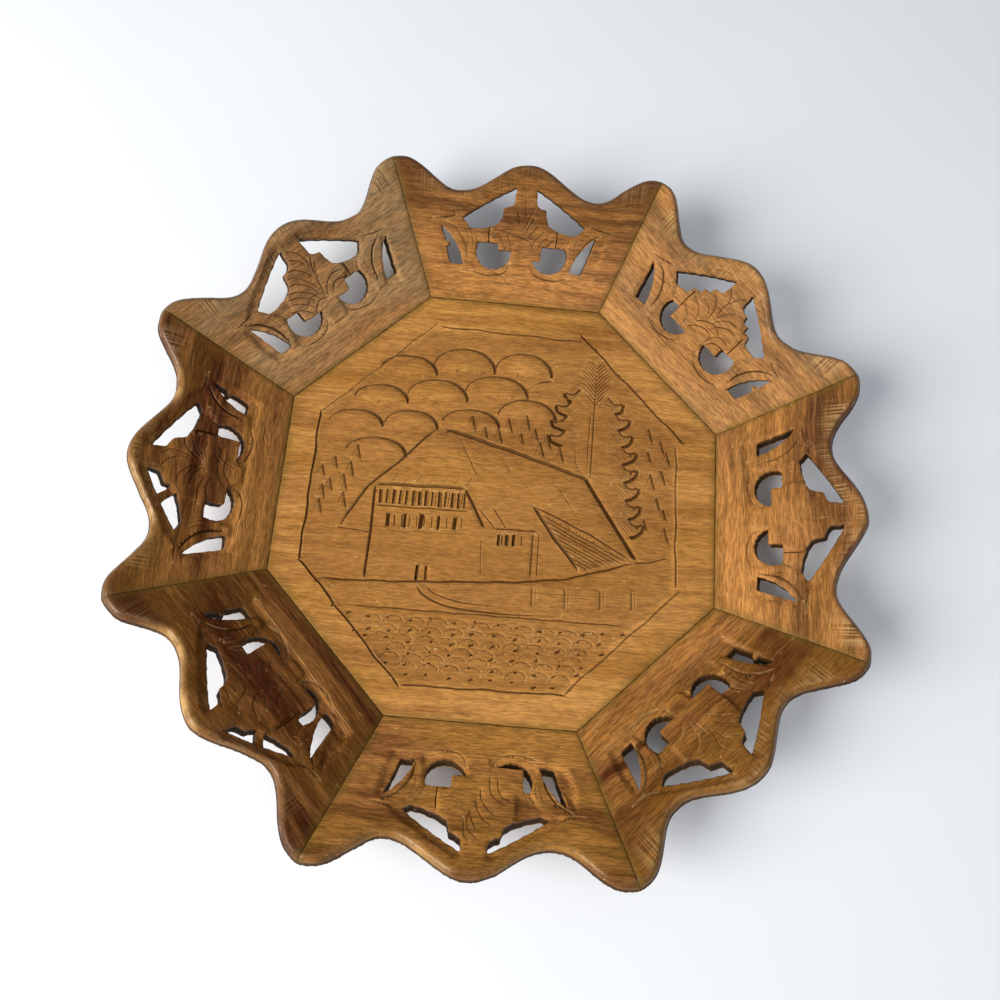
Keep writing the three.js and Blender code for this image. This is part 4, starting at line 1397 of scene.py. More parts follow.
    def house(self) -> list[Cut]:
        """Returns a farmhouse under a big thatched roof, with a gallery, windows and a lean-to."""
        vee, left, right, even = Blade.VEE, Blade.STEEP_LEFT, Blade.STEEP_RIGHT, self.EVEN
        ridge, verge = ((-26, 29.5), (10, 20), (37, 12)), ((37, 12), (48, -4), (59, -20.5))
        ground = (-72, -39.5), (-40, -38), (10, -34), (30, -31), (58, -22)
        made = self.lines(
            (12.0, 0.5, left, (0.2, 0.02), *ridge),
            (11.0, 0.5, left, (0.0, 0.2), *verge),
            (2.0, 1.35, right, (0.08, 0.02), *ridge),
            (2.2, 1.4, left, (0.0, 0.05), *verge),
            (1.5, 0.85, left, (0.1, 0.12), (-29, 29.5), (-44, 12), (-55, 1), (-65, -17)),
            (0.9, 0.45, vee, even, (-66, -17.5), (-52, -18.5)),
            (1.3, 0.9, left, even, (-52, 2), (-51.5, -18), (-52, -38)),
            (5.0, 0.35, left, even, *ground),
            (1.2, 0.9, left, even, *ground),
            (0.9, 0.55, vee, even, (58, -22), (64, -21.5), (72, -18.5)),
            (2.2, 0.7, right, even, (-52, 2), (-14, 3.5)),
            (1.0, 0.55, vee, even, (-52, -6.8), (-12, -6)),
            (1.7, 0.95, left, even, (-14, 3.5), (-9.5, -4), (-5, -12.5)),
            (0.8, 0.5, vee, even, (-7.5, -5), (-0.5, -12.5)),
            (0.8, 0.5, vee, even, (-2, -3.5), (4, -12.0)),
            (0.8, 0.4, vee, even, (-19, 27), (-14, 17), (-10, 10)),
            (0.7, 0.35, vee, even, (-1, 20), (4, 13)),
            (0.7, 0.3, vee, even, (-45, -17), (-12, -16)),
            (1.0, 0.55, vee, even, (-1, -12.5), (17, -12)),
            (1.2, 0.55, left, even, (15.5, -13), (15.5, -31.5)),
            (0.9, 0.4, vee, even, (18, -13), (18, -31)),
            (0.7, 0.3, vee, even, (-6, -18), (-5, -33)),
            (2.2, 0.95, right, (0.1, 0.15), (14, -1), (24, -15), (35, -27.5)),
            (1.4, 0.55, vee, (0.1, 0.1), (14.5, -1), (38, -11), (57, -21)),
            (0.7, 0.3, vee, (0.3, 0.3), (24, 9), (35, -7)),
            (0.7, 0.3, vee, (0.3, 0.3), (42, 0), (49, -13)),
        )
        for row in (
            (((-50, -5.9), (-14.5, -5.2)), ((-50, 0.6), (-14.5, 1.8)), 14, 1.9, 0.75, left),
            (((-48.6, -5.7), (-15.5, -5.2)), ((-48.6, 0.4), (-15.5, 1.6)), 13, 0.6, 0.35),
            (((-45, -15.6), (-17, -14.8)), ((-45, -9.6), (-17, -8.8)), 5, 1.7, 1.35, right),
            (((-42.6, -15.2), (-14.6, -14.4)), ((-42.6, -10), (-14.6, -9.2)), 10, 0.8, 0.45),
            (((0.8, -19.6), (7, -19.3)), ((0.8, -14.6), (7, -14.3)), 3, 1.7, 1.4, left),
            (((2.4, -19.6), (10.6, -19.2)), ((2.4, -14.6), (10.6, -14.2)), 4, 0.7, 0.45),
            (((-31.6, -37.0), (-27.8, -36.8)), ((-31.6, -30.6), (-27.8, -30.4)), 2, 2.2, 1.5, left),
            (((-46, 3.6), (-14, 4.6)), ((-43, 7.6), (-12, 8.8)), 7, 0.7, 0.3),
        ):
            made += self.ticks(*row)
        for k in range(9):
            share = (k + 1) / 10
            start = (14.5 + 19 * share, -1.5 - 24 * share)
            end = (57 - 20 * share, -21.3 - 6 * share)
            made += self.lines((1.3 if k % 3 else 0.8, 0.45, left, (0.15, 0.1), start, end))
        return made

    def fir(self) -> list[Cut]:
        """Returns a tall fir: a double trunk line, a feathered crown and hooked boughs."""
        made = self.lines(
            (0.9, 0.45, Blade.VEE, (0.1, 0.3), (38, 12), (38.2, 40), (38.6, 68)),
            (0.8, 0.35, Blade.VEE, (0.3, 0.2), (36.4, 14), (36.4, 30), (36.9, 46)),
        )
        made.append(Cut(smooth([(31, 26), (31.4, 20), (35, 13.5)]), 0.7, 0.35))
        for k in range(10):
            for side in (-1, 1):
                y, long = 47 + 1.9 * k, 11.5 - 0.9 * abs(k - 3)
                tip = (38.4 + side * long * 0.66, y + long * 0.72)
                feather = smooth([(38.4, y), ((38.4 + tip[0]) / 2, y + long * 0.42), tip])
                made.append(Cut(feather, 0.75, 0.42, fade=(0.1, 0.4)))
        return made + self.boughs(1) + self.boughs(-1)

    def boughs(self, side: int) -> list[Cut]:
        """Returns the boughs on one side of the fir, 1 for its right and -1 for its left.

        Each sags out to a thorn and turns back in to the next notch, with needles over it.
        """
        inner, outer = (Blade.STEEP_LEFT, Blade.STEEP_RIGHT)[::side]
        made = []
        for (x, y), (nx, ny) in zip(self.BOUGHS[side], self.BOUGHS[side][1:]):
            thorn = (x + side * 6.6, y - 2.4)
            hang = smooth([(x, y), (x + side * 2.2, y - 2.6), (x + side * 4.6, y - 3.2), thorn])
            back = smooth([thorn, (x + side * 6.0, y - 5.0), (nx + side * 2.6, ny + 0.9), (nx, ny)])
            made.append(Cut(hang, 4.2, 0.5, inner, (0.1, 0.1)))
            made.append(Cut(hang, 1.1, 0.85, outer, (0.05, 0.02)))
            made.append(Cut(back, 1.9, 1.2, outer, (0.02, 0.12)))
            for j in range(4):
                low = np.array((nx + side * (0.9 * j + 0.4), ny + 0.5 + 0.55 * j))
                far = low + np.array((-side * (6.4 + 1.2 * (j % 2)), 5.2 + 0.8 * j))
                needle = smooth([low, (low + far) / 2 + (0.3 * side, 0.5), far])
                made.append(Cut(needle, 0.7, 0.32, fade=(0.2, 0.5)))
        return made

    def yard(self) -> list[Cut]:
        """Returns the yard: the path from the door, the line under it, and the fence."""
        vee, left, even = Blade.VEE, Blade.STEEP_LEFT, self.EVEN
        path = smooth([(-31, -38.5), (-27, -43), (-16, -46.8), (6, -47.8), (30, -46.6)])
        path_edge = smooth([(-27, -38.6), (-22.5, -42), (-10, -44.6), (12, -44.8)])
        edge = (-58, -49.3), (-20, -49.0), (20, -48.6), (58, -48.4)
        made = [Cut(path, 1.3, 0.6, vee, (0.05, 0.5)), Cut(path_edge, 1.0, 0.45, vee, (0.05, 0.5))]
        made += self.lines(
            (4.0, 0.25, left, even, *edge),
            (1.1, 0.55, left, even, *edge),
            (0.6, 0.22, vee, (0.3, 0.4), (-66, -43), (-38, -43.5)),
            (0.6, 0.25, vee, even, (16.5, -38), (57, -36.8)),
            (0.6, 0.22, vee, even, (16.5, -42), (58, -40.6)),
        )
        for k, x in enumerate((16.5, 30, 44.5, 57.5)):
            made += self.lines(
                (1.3, 0.42, vee, even, (x, -35.5 + 0.4 * k), (x + 0.3, -43.8 + 0.5 * k)),
                (0.6, 0.2, vee, even, (x + 1.5, -35.8 + 0.4 * k), (x + 1.7, -43.4 + 0.5 * k)),
            )
        return made

    def meadow(self) -> list[Cut]:
        """Returns the meadow: staggered rows of pricked dots, with small scallops between them."""
        rng = np.random.default_rng(5)
        made = []
        for row, y in enumerate(np.arange(-53, -77.5, -4.4)):
            wide = 60 - 0.95 * (-50 - y)
            for x in np.arange(-wide + 4.3 * (row % 2), wide, 8.6):
                spot = np.array((x + rng.uniform(-1, 1), y + rng.uniform(-0.9, 0.9)))
                made.append(Cut(np.array((spot, spot + (0.25, 0.1))), 1.0, 0.85, Blade.VEE, (0, 0)))
        for row, y in enumerate(np.arange(-55.5, -74, -3.6)):
            for x in np.arange(-47 + 4.4 * (row % 2) + 2.2 * row, 46 - 2.2 * row, 8.8):
                x, mid = x + rng.uniform(-0.35, 0.35), y + rng.uniform(-0.25, 0.25)
                path = arc(x, mid, 4.1, 174, 6, 3.4, 9)
                made.append(Cut(path, 0.75, rng.uniform(0.26, 0.36), Blade.STEEP_RIGHT, (0.12, 0.12)))
        return made


class FloorBoard:
    """The flat floor with its carved picture.

    Attributes:
        EDGE: centre to the middle of an edge, inside the glue gap.
    """

    EDGE = TRAY.floor_apothem - TRAY.glue_gap / 2

    def __init__(self) -> None:
        """Takes the picture."""
        self.picture = Landscape()

    def ring(self, apothem: float) -> Points:
        """Returns an octagon with edges square to the sides, counter-clockwise."""
        turn = TRAY.half_turn * (2 * np.arange(TRAY.sides) + 1)
        return np.column_stack((np.cos(turn), np.sin(turn))) * apothem / math.cos(TRAY.half_turn)

    def out(self, points: Points) -> Points:
        """Returns how far out each point is, square to its nearest side."""
        turn = 2 * TRAY.half_turn * np.arange(TRAY.sides)
        return (points @ np.array((np.cos(turn), np.sin(turn)))).max(1)

    def relief(self, points: Points) -> Points:
        """Returns the height of the upper face before the strokes: planed by hand, with eased edges."""
        eased = TRAY.eased * np.clip(1 - (self.EDGE - self.out(points)) / TRAY.eased_width, 0, 1)
        planed = undulation(points, 3, TRAY.planed, 40) - TRAY.planed
        return planed - eased + self.picture.relief(points)

    def underside(self, points: Points) -> Points:
        """Returns the height of the lower face."""
        return np.full(len(points), -TRAY.floor_thickness)

    def place(self, points: Points, height: Points, upper: bool) -> Points:
        """Sets points of the floor in the tray.

        Formula: (u, v, thickness + height); the lower face grows towards its edge, out to the mitres.
        """
        if not upper:
            grow = TRAY.foot_apothem / TRAY.floor_apothem - 1
            points = points * (1 + grow * ramp(self.out(points), 84, TRAY.floor_apothem - 0.2))[:, None]
        return np.column_stack((points, TRAY.floor_thickness + height))

    def build(self) -> bpy.types.Object:
        """Makes the floor and returns its object."""
        marks = {
            "seam": lambda points: self.EDGE - self.out(points),
            "rim": everywhere(9.0),
            "board": everywhere(0.5),
            "gold": self.picture.gold,
            "worn": everywhere(0.0),
            "rasp": everywhere(0.0),
            "fresh": everywhere(0.0),
            "shade": self.picture.shade,
        }
        outline = resample(self.ring(self.EDGE), 0.9, closed=True)
        extra = [resample(self.ring(self.EDGE - d), 1.1, closed=True) for d in STEPS.seam_rows]
        shape = outline, [], self.picture.cuts(), self.relief, self.underside, self.place
        board = Board(*shape, extra, marks, pitch=0.86, under_pitch=4.0, guide_step=0.45)
        made = board.build("engraved_floor")
        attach(made, "root")
        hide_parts("floor_board")
        return made


# Materials


Socket = bpy.types.NodeSocket
Value = Socket | float | tuple


def srgb(code: str) -> tuple[float, float, float, float]:
    """Returns the linear colour of a hex code such as "a8733c".

    Formula: c / 12.92 up to 0.04045, and ((c + 0.055) / 1.055) to the power of 2.4 above it.
    """
    parts = [int(code[k : k + 2], 16) / 255 for k in (0, 2, 4)]
    return (*(c / 12.92 if c <= 0.04045 else ((c + 0.055) / 1.055) ** 2.4 for c in parts), 1.0)


class Graph:
    """Short-hand for making the nodes of one tree."""

    def __init__(self, tree: bpy.types.NodeTree) -> None:
        """Takes the tree that the nodes go into."""
        self.tree = tree

    def add(self, kind: str, **settings: object) -> bpy.types.Node:
        """Adds a node and sets its own properties."""
        node = self.tree.nodes.new(f"ShaderNode{kind}")
        for key, value in settings.items():
            setattr(node, key, value)
        return node

    def put(self, socket: Socket, value: Value) -> None:
        """Links a socket to the input, or sets the input's own value."""
        if isinstance(value, Socket):
            self.tree.links.new(value, socket)
        else:
            socket.default_value = value

    def fill(self, node: bpy.types.Node, inputs: dict[str | int, Value]) -> bpy.types.Node:
        """Links or sets some inputs of a node, and returns it."""
        for name, value in inputs.items():
            self.put(node.inputs[name], value)
        return node

    def calc(self, operation: str, a: Value, b: Value = 0.0, clamp: bool = False) -> Socket:
        """Returns the result of arithmetic on one or two numbers."""
        node = self.add("Math", operation=operation, use_clamp=clamp)
        return self.fill(node, {0: a, 1: b}).outputs[0]

    def times(self, a: Value, b: Value, clamp: bool = False) -> Socket:
        """Returns the product of two numbers."""
        return self.calc("MULTIPLY", a, b, clamp)

    def weigh(self, *parts: tuple[Value, float]) -> Socket:
        """Returns the sum of numbers, each times its own weight."""
        total = 0.0
        for value, weight in parts:
            node = self.add("Math", operation="MULTIPLY_ADD")
            total = self.fill(node, {0: value, 1: weight, 2: total}).outputs[0]
        return total

    def rest(self, value: Value, share: float) -> Socket:
        """Returns 1 less a share of a number."""
        return self.weigh((value, -share), (1.0, 1.0))

    def span(
        self, value: Value, low: float, high: float, to_low: float = 0.0, to_high: float = 1.0
    ) -> Socket:
        """Maps the range from low to high onto another with an S curve, and holds its ends."""
        node = self.add("MapRange", interpolation_type="SMOOTHSTEP")
        ends = {"From Min": low, "From Max": high, "To Min": to_low, "To Max": to_high}
        return self.fill(node, {**ends, "Value": value}).outputs["Result"]

    def stretch(self, vector: Value, factors: Triple) -> Socket:
        """Returns a vector times three factors."""
        node = self.add("VectorMath", operation="MULTIPLY")
        return self.fill(node, {0: vector, 1: factors}).outputs[0]

    def shift(self, vector: Value, offset: Value) -> Socket:
        """Returns the sum of two vectors, or of one and a number added to all its parts."""
        node = self.add("VectorMath", operation="ADD")
        return self.fill(node, {0: vector, 1: offset}).outputs[0]

    def noise(
        self, vector: Value, scale: float, detail: float, rough: float = 0.5, warp: float = 0.0
    ) -> Socket:
        """Returns a noise from 0 to 1, by its scale, octaves, roughness and distortion."""
        settings = {"Scale": scale, "Detail": detail, "Roughness": rough, "Distortion": warp}
        return self.fill(self.add("TexNoise"), {"Vector": vector, **settings}).outputs["Fac"]

    def streaks(
        self, grain: Value, along: float, across: float, detail: float, rough: float, warp: float = 0.0
    ) -> Socket:
        """Makes a noise stretched along the grain, or across it, by its cells in a metre each way."""
        return self.noise(self.stretch(grain, (along, across, across)), 1.0, detail, rough, warp)

    def blend(self, share: Value, a: Value, b: Value, how: str = "MIX") -> Socket:
        """Returns two colours mixed."""
        node = self.add("Mix", data_type="RGBA", blend_type=how)
        return self.fill(node, {"Factor": share, "A": a, "B": b}).outputs["Result"]

    def attribute(self, name: str, part: str = "Fac") -> Socket:
        """Returns what the mesh stores for each vertex."""
        return self.add("Attribute", attribute_name=name).outputs[part]

    def group(self, tree: bpy.types.NodeTree, **inputs: Value) -> bpy.types.bpy_prop_collection:
        """Adds a shader group with its inputs fed, and returns its outputs."""
        return self.fill(self.add("Group", node_tree=tree), inputs).outputs


def new_group(
    name: str, inputs: dict[str, str], outputs: dict[str, str]
) -> tuple[bpy.types.NodeTree, Graph, dict[str, Socket], dict[str, Socket]]:
    """Makes an empty shader group.

    Args:
        name: the group's name.
        inputs, outputs: socket names and types, "Float", "Vector" or "Color".

    Returns:
        The group, its graph, its inputs as seen from inside, and its outputs to be fed.
    """
    tree = bpy.data.node_groups.new(name, "ShaderNodeTree")
    for sockets, way in ((inputs, "INPUT"), (outputs, "OUTPUT")):
        for label, kind in sockets.items():
            tree.interface.new_socket(label, in_out=way, socket_type=f"NodeSocket{kind}")
    given = tree.nodes.new("NodeGroupInput")
    taken = tree.nodes.new("NodeGroupOutput")
    sources, sinks = {k: given.outputs[k] for k in inputs}, {k: taken.inputs[k] for k in outputs}
    return tree, Graph(tree), sources, sinks


def new_material(name: str) -> tuple[bpy.types.Material, Graph, bpy.types.Node]:
    """Makes a material, and returns it with its graph and its shader."""
    material = bpy.data.materials.new(name)
    material.use_nodes = True
    return material, Graph(material.node_tree), material.node_tree.nodes["Principled BSDF"]


def wood_figure(board_step: float = 7.3, sway: float = 0.006) -> bpy.types.NodeTree:
    """Figure of the wood along the first axis of Grain: streaks, fibres and dark dashes of open pores.

    Formula: each layer is a noise stretched along the grain, and each result is a weighted sum of
    layers with its contrast raised.

    Args:
        board_step: how far the figure shifts for each unit of Board, so that no two boards look alike.
        sway: how far the grain wanders sideways, in metres.
    """
    tree, g, given, out = new_group(
        "wood_figure",
        {"Grain": "Vector", "Board": "Float"},
        {"Tone": "Float", "Patch": "Float", "Fibre": "Float", "Pore": "Float", "Height": "Float"},
    )
    straight = g.shift(given["Grain"], g.times(given["Board"], board_step))
    swirl = g.fill(g.add("TexNoise"), {"Vector": g.stretch(straight, (22, 22, 22)), "Scale": 1.0})
    bent = g.add("VectorMath", operation="MULTIPLY_ADD")
    grain = g.fill(bent, {0: swirl.outputs["Color"], 1: (0.0, sway, sway), 2: straight}).outputs[0]
    broad = g.streaks(grain, 14, 55, 3.0, 0.55)
    band = g.streaks(grain, 5, 170, 3.0, 0.6)
    streak = g.streaks(grain, 16, 1000, 2.0, 0.6)
    dash = g.streaks(grain, 170, 1900, 1.0, 0.5)
    mid = g.streaks(grain, 16, 330, 3.0, 0.55)
    fibre = g.streaks(grain, 230, 1500, 2.0, 0.6)
    pore = g.span(g.streaks(grain, 200, 1500, 1.0, 0.4), 0.64, 0.72)
    patch = g.streaks(grain, 12, 52, 3.0, 0.5)
    tone = g.weigh((broad, 0.32), (band, 0.24), (mid, 0.3), (streak, 0.14))
    g.put(out["Tone"], g.span(tone, 0.39, 0.61))
    g.put(out["Patch"], g.span(patch, 0.38, 0.64))
    g.put(out["Fibre"], g.span(g.weigh((fibre, 0.7), (dash, 0.3)), 0.36, 0.64))
    g.put(out["Pore"], pore)
    g.put(out["Height"], g.weigh((fibre, 0.5), (streak, 0.5), (dash, 0.6), (pore, -0.5)))
    return tree


def hand_marks() -> bpy.types.NodeTree:
    """Marks of use and of the maker, and painted light: dirt in cuts and seams, pale nicks, painted
    highlights on the lips of cuts and on the rim, and dark sawn walls with painted shade.

    Formula: each mark is a range of a distance or depth, in millimetres, times one of a noise. Residue
    lies in patches along a seam, Gap in the seam itself, and Polish and the painted highlight along
    the rim. Wall, the walls' own darker colour with painted shade, is on the sawn walls, down to the
    underside.
    """
    fed = ("Cut", "Seam", "Rim", "Wall", "Worn", "Bare")
    made = ("Dirt", "Fresh", "Lip_Highlight", "Residue", "Gap", "Worn", "Polish", "Nick", "Wall")
    inputs = {"Grain": "Vector", **dict.fromkeys(fed, "Float")}
    tree, g, given, out = new_group("hand_marks", inputs, dict.fromkeys(made, "Float"))
    grain, (cut, seam, rim, wall, worn, bare) = given["Grain"], (given[name] for name in fed)
    patch = g.streaks(grain, 110, 150, 3.0, 0.65)
    grit = g.noise(grain, 2400, 2.0, 0.6)
    dirty = g.times(g.span(cut, 0.05, 0.5), g.rest(bare, 0.8))
    g.put(out["Dirt"], g.times(dirty, g.weigh((grit, 0.8), (1.0, 0.5)), clamp=True))
    fresh = g.times(g.span(cut, 0.04, 0.3), bare)
    g.put(out["Fresh"], g.times(fresh, g.span(patch, 0.35, 0.6)))
    # painted highlight: a pale band on the lips of the shallow strokes, as if their edges caught the
    # light
    lip = g.times(g.span(cut, 0.01, 0.05), g.span(cut, 0.06, 0.2, 1, 0))
    g.put(out["Lip_Highlight"], g.times(lip, g.span(patch, 0.4, 0.6)))
    far = g.weigh((seam, 1.0), (patch, 5.0), (grit, 0.8))
    g.put(out["Residue"], g.times(g.span(far, 2.2, 6.4, 1, 0), g.span(seam, 3.5, 7.0, 1, 0)))
    g.put(out["Gap"], g.times(g.span(seam, 0.05, 0.45, 1, 0), g.span(patch, 0.42, 0.62, 0.1, 1)))
    g.put(out["Polish"], g.times(g.span(rim, 1.4, 4.2, 1, 0), g.span(patch, 0.3, 0.6, 0.4, 1)))
    g.put(out["Nick"], g.span(g.streaks(grain, 260, 620, 2.0, 0.55), 0.73, 0.76))
    parts = g.fill(g.add("SeparateXYZ"), {0: grain})
    depth = g.times(parts.outputs[2], -1 / MM)
    # the sawn walls' own darker colour plus painted shade, darkest low down, a little less on the rim's
    # edge
    sawn = g.times(g.span(wall, 0.0, 0.4), g.span(depth, 6.6, 7.4, 1, 0))
    low = g.times(g.span(wall, 0.35, 0.95), sawn)
    g.put(out["Wall"], g.calc("MAXIMUM", low, g.times(sawn, g.span(rim, 0.3, 1.5, 0.8, 1))))
    # painted highlight on the rim's round-over, in patches, held off the sawn walls
    pale_wood_and_highlight = g.times(g.span(rim, 0.4, 3.0, 1, 0), g.span(patch, 0.36, 0.6, 0.25, 1))
    g.put(out["Worn"], g.times(g.times(pale_wood_and_highlight, g.rest(sawn, 0.8)), worn))
    return tree


def rasp_marks() -> bpy.types.NodeTree:
    """Fine parallel scratches left by shaping, across the grain, in patches near the rim.

    Formula: a noise stretched across the grain; the mask falls off below the rim and on its very edge.
    """
    inputs, outputs = {"Grain": "Vector", "Rim": "Float"}, {"Mask": "Float", "Line": "Float"}
    tree, g, given, out = new_group("rasp_marks", inputs, outputs)
    lines = g.streaks(given["Grain"], 1250, 24, 1.0, 0.6, 0.06)
    patch = g.streaks(given["Grain"], 34, 40, 2.0, 0.5)
    near = g.times(g.span(given["Rim"], 2.0, 12.0, 1, 0.03), g.span(given["Rim"], 0.5, 1.8, 0.04, 1))
    g.put(out["Mask"], g.times(near, g.span(patch, 0.38, 0.58)))
    g.put(out["Line"], g.span(lines, 0.38, 0.64))
    return tree


@dataclass(frozen=True)
class WoodFinish:
    """Colours and gloss of a waxed wood.

    Attributes:
        light, dark: ends of the figure's tone, as hex codes, as all the colours are.
        gold, grey: the yellowed finish, and the greyed wood where it hasn't yellowed.
        pore, dirt, residue, nick, rubbed, wall: the pores, and the marks of use and of the maker.
        deep: the sunk ground of the floor's picture.
        figured: share of the figure in the tone; the board's own tone is the rest.
        fibres: how much the fibres lighten and darken.
        roughness, coat_roughness: of the wood and of the wax on it.
        gloss, gloss_tint: strength and colour of its reflections.
        bump, bump_height: strength of its surface's relief, and height of it in metres.
        pore, dirt, residue, nick, rubbed, wall: the pores, and the marks of use and of the maker, with
        painted highlights in nick and rubbed, and painted shade in wall.
        LAYERS: the marks in the order in which they lie: name, strength and colour.
    """

    light: str
    dark: str
    gold: str = "be8a3c"
    grey: str = "96805c"
    pore: str = "2e1607"
    dirt: str = "1e0f05"
    residue: str = "66501f"
    # pale colour of nicks and scratches, also painting a highlight on the lips of the cuts
    nick_and_highlight: str = "e0bd80"
    # pale colour of the light strokes, also painting the highlight along the rim
    pale_wood_and_highlight: str = "c9a062"
    # colour of the sawn walls, with painted shade in it
    wall: str = "2e2010"
    deep: str = "8e5f30"
    figured: float = 0.62
    fibres: float = 0.26
    roughness: float = 0.42
    coat_roughness: float = 0.24
    gloss: float = 0.11
    gloss_tint: tuple[float, float, float, float] = (1.0, 0.75, 0.45, 1.0)
    bump: float = 0.6
    bump_height: float = 0.00022
    rasped: bool = True

    # The rim layer paints a highlight, the layer on the lips of the cuts another, and the wall layer
    # painted shade over the walls' own dark colour.
    LAYERS = (
        ("Wall", 0.9, "wall"), ("Worn", 0.75, "pale_wood_and_highlight"), ("Nick", 0.5, "nick_and_highlight"),
        ("Lip_Highlight", 0.25, "nick_and_highlight"), ("Fresh", 0.55, "pale_wood_and_highlight"), ("Residue", 0.55, "residue"),
        ("Dirt", 0.75, "dirt"), ("Gap", 0.6, "dirt"),
    )

    def waxed(
        self, g: Graph, figure: bpy.types.bpy_prop_collection, stored: dict[str, Socket], grain: Socket
    ) -> Socket:
        """Colours the plain wood.

        Formula: dark to light by the figure's tone and the board's own, then yellowed or greyed in
        patches, darker in the sunk ground, and varied by the fibres and pores.

        Args:
            g: the material's graph.
            figure: outputs of the figure group.
            stored, grain: what the mesh stores, by name, and the place on the board.
        """
        # the stored shade darkens the wood; on the sides it includes painted shade along the rim
        parts = ((figure["Tone"], self.figured), (stored["board"], 1.0), (stored["shade"], -1.0))
        share = g.calc("ADD", g.weigh(*parts), -self.figured / 2, clamp=True)
        colour = g.blend(share, srgb(self.dark), srgb(self.light))
        yellow = g.times(stored["gold"], figure["Patch"])
        colour = g.blend(g.times(yellow, 0.5), colour, srgb(self.gold))
        pale = g.times(g.span(stored["gold"], 0.05, 0.4, 0.6, 0.03), g.rest(figure["Patch"], 0.6))
        colour = g.blend(pale, colour, srgb(self.grey))
        if not self.rasped:
            depth = g.fill(g.add("SeparateXYZ"), {0: grain}).outputs[2]
            colour = g.blend(g.span(depth, -0.7 * MM, -0.15 * MM, 0.55, 0), colour, srgb(self.deep))
        fibre = g.span(figure["Fibre"], 0, 1, 0.97 - self.fibres, 0.97 + self.fibres)
        tint = g.fill(g.add("CombineColor"), dict.fromkeys(range(3), fibre)).outputs[0]
        colour = g.blend(1.0, colour, tint, "MULTIPLY")
        return g.blend(g.times(figure["Pore"], 0.2), colour, srgb(self.pore))

    def make(self, name: str, groups: dict[str, bpy.types.NodeTree]) -> bpy.types.Material:
        """Returns the material, made with the groups "figure", "marks" and "rasp"."""
        material, g, shader = new_material(name)
        grain = g.attribute("grain", "Vector")
        labels = ("board", "gold", "cut", "seam", "rim", "wall", "worn", "fresh", "shade", "rasp")
        stored = {label: g.attribute(label) for label in labels}
        figure = g.group(groups["figure"], Grain=grain, Board=stored["board"])
        fed = {label.title(): stored[label] for label in ("cut", "seam", "rim", "wall", "worn")}
        marks = g.group(groups["marks"], Grain=grain, Bare=stored["fresh"], **fed)
        colour = self.waxed(g, figure, stored, grain)
        height = figure["Height"]
        if self.rasped:
            rasp = g.group(groups["rasp"], Grain=grain, Rim=stored["rim"])
            tool = g.times(rasp["Mask"], stored["rasp"])
            scratch = g.times(tool, rasp["Line"])
            colour = g.blend(g.times(tool, 0.12), colour, srgb(self.dirt))
            colour = g.blend(g.times(scratch, 0.5), colour, srgb(self.nick_and_highlight))
            height = g.weigh((height, 1.0), (scratch, -1.2))
        for label, strength, code in self.LAYERS:
            colour = g.blend(g.times(marks[label], strength), colour, srgb(getattr(self, code)))
        dirt, residue, wall = (marks[label] for label in ("Dirt", "Residue", "Wall"))
        matt = g.weigh((figure["Fibre"], -0.08), (dirt, 0.2), (residue, 0.15), (wall, 0.4))
        polish = g.times(marks["Polish"], g.rest(wall, 1.0))
        relief = {"Strength": self.bump, "Distance": self.bump_height, "Height": height}
        g.fill(shader, {
            "Base Color": colour,
            "Roughness": g.calc("ADD", matt, self.roughness + 0.06),
            "Specular IOR Level": self.gloss,
            "Specular Tint": self.gloss_tint,
            "Coat Weight": g.span(polish, 0, 1, 0.02, 0.4),
            "Coat Roughness": self.coat_roughness,
            "Normal": g.fill(g.add("Bump"), relief).outputs["Normal"],
        })
        return material


def bare_wood(groups: dict[str, bpy.types.NodeTree]) -> bpy.types.Material:
    """Returns the pale unfinished wood of the hidden tongues, made with the group "figure"."""
    material, g, shader = new_material("bare_tongue_wood")
    figure = g.group(groups["figure"], Grain=g.add("TexCoord").outputs["Object"], Board=0.4)
    g.put(shader.inputs["Base Color"], g.blend(figure["Tone"], srgb("a9804e"), srgb("d0a874")))
    g.put(shader.inputs["Roughness"], g.span(figure["Fibre"], 0, 1, 0.85, 0.7))
    return material


def pale_surface() -> bpy.types.Material:
    """Makes the plain pale surface that the tray stands on."""
    material, g, shader = new_material("pale_surface")
    cloud = g.noise(g.add("TexCoord").outputs["Object"], 9.0, 2.0)
    colour = g.blend(cloud, srgb("dfe4ec"), srgb("e6eaf0"))
    g.fill(shader, {"Base Color": colour, "Roughness": 0.8})
    return material


# Studio


@dataclass(frozen=True)
class Lamp:
    """An area lamp: where it stands, how wide it is and how strong it is."""

    name: str
    place: Triple
    wide: float
    power: float
    colour: Triple = (1.0, 1.0, 1.0)

    def make(self) -> None:
        """Makes the lamp and turns it to the tray."""
        data = bpy.data.lights.new(self.name, "AREA")
        data.shape, data.size, data.energy, data.color = "DISK", self.wide, self.power, self.colour
        lamp = bpy.data.objects.new(self.name, data)
        lamp.location = self.place
        lamp.rotation_euler = (-Vector(self.place)).to_track_quat("-Z", "Y").to_euler()
        bpy.context.collection.objects.link(lamp)


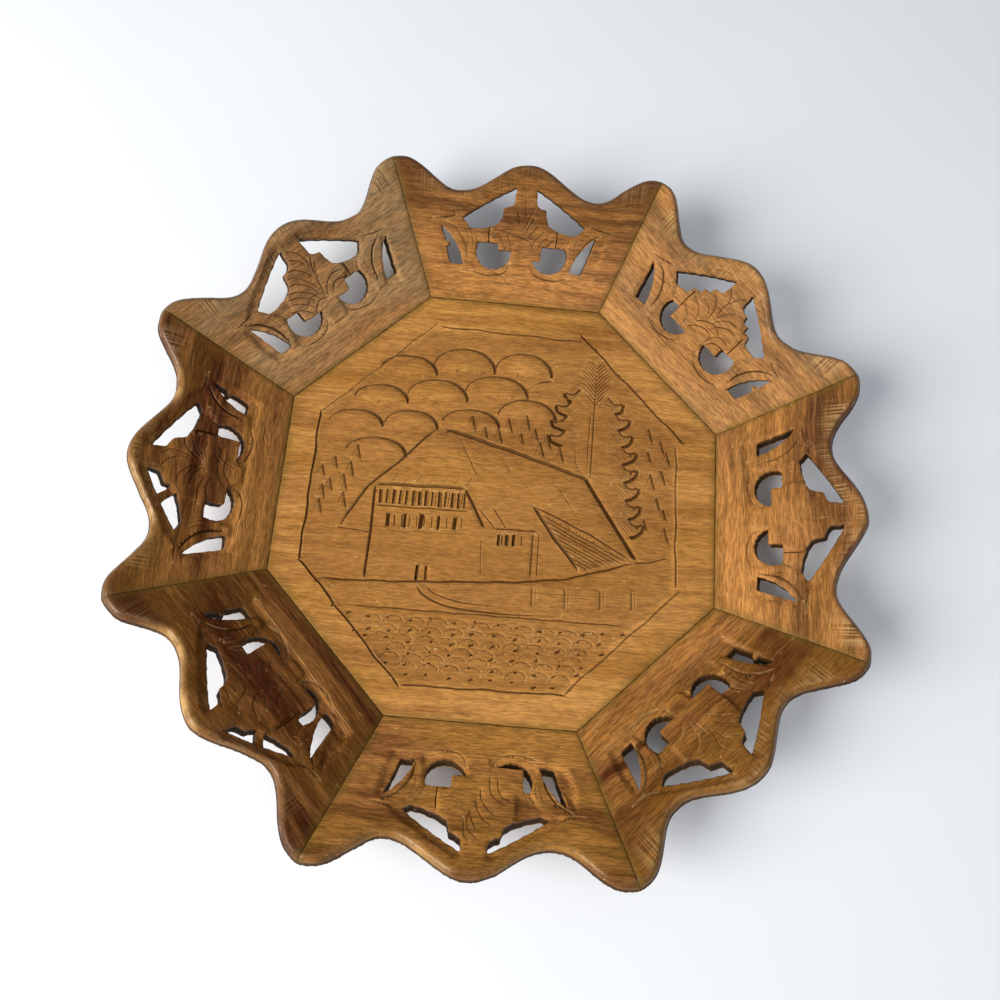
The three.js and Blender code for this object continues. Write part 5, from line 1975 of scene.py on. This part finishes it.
@dataclass(frozen=True)
class Studio:
    """Camera, lamps and the surface below the tray, in metres.

    Attributes:
        eye, turn: the camera's place and its turn about x, y and z in degrees.
        lens, sensor: its focal length and the width of its sensor, in millimetres.
        clip: the nearest and the furthest that it sees.
        lamps: the lamps.
        sky, sky_power: colour and strength of the light from all round.
        surface: half the width of the surface.
    """

    eye: Triple = (-0.00755, -0.10408, 0.36003)
    turn: Triple = (16.281, -2.630, 4.570)
    lens: float = 31.494
    sensor: float = 36.0
    clip: Spot = (0.01, 20.0)
    lamps: tuple[Lamp, ...] = (
        Lamp("window", (-0.93, -0.48, 0.76), 0.9, 24.0, (1.0, 0.97, 0.92)),
        Lamp("room", (0.4, -0.3, 1.3), 1.2, 3.0, (0.97, 0.98, 1.0)),
    )
    sky: tuple[float, float, float, float] = (0.96, 0.98, 1.0, 1.0)
    sky_power: float = 0.36
    surface: float = 4.0

    def build(self) -> None:
        """Makes all of it and makes the camera the scene's own."""
        data = bpy.data.cameras.new("camera")
        data.lens, data.sensor_width = self.lens, self.sensor
        data.clip_start, data.clip_end = self.clip
        camera = bpy.data.objects.new("camera", data)
        camera.location = self.eye
        camera.rotation_euler = [math.radians(a) for a in self.turn]
        bpy.context.collection.objects.link(camera)
        bpy.context.scene.camera = camera
        for lamp in self.lamps:
            lamp.make()
        world = bpy.data.worlds.new("room_light")
        world.use_nodes = True
        light = world.node_tree.nodes["Background"]
        Graph(world.node_tree).fill(light, {"Color": self.sky, "Strength": self.sky_power})
        bpy.context.scene.world = world
        bpy.context.scene.view_settings.view_transform = "Standard"
        corners = np.array([(-1, -1, 0), (1, -1, 0), (1, 1, 0), (-1, 1, 0)]) * self.surface
        floor = new_mesh("surface", corners, np.array([(0, 1, 2), (0, 2, 3)]))
        floor.data.materials.append(pale_surface())


# Scene


def main() -> None:
    """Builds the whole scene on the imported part."""
    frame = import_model()
    groups = {"figure": wood_figure(), "marks": hand_marks(), "rasp": rasp_marks()}
    side_wood = WoodFinish("bd8046", "451a05").make("waxed_side_wood", groups)
    floor_finish = WoodFinish("c8904e", "76461a", fibres=0.18, rasped=False)
    floor_wood = floor_finish.make("waxed_floor_wood", groups)
    for number, hand in enumerate(HANDS):
        SidePanel(number, hand).build().data.materials.append(side_wood)
    FloorBoard().build().data.materials.append(floor_wood)
    tongue_wood = bare_wood(groups)
    for name, node in frame["nodes"].items():
        if "tongue" in name:
            node.data.materials.clear()
            node.data.materials.append(tongue_wood)
    Studio().build()


if __name__ == "__main__":
    main()
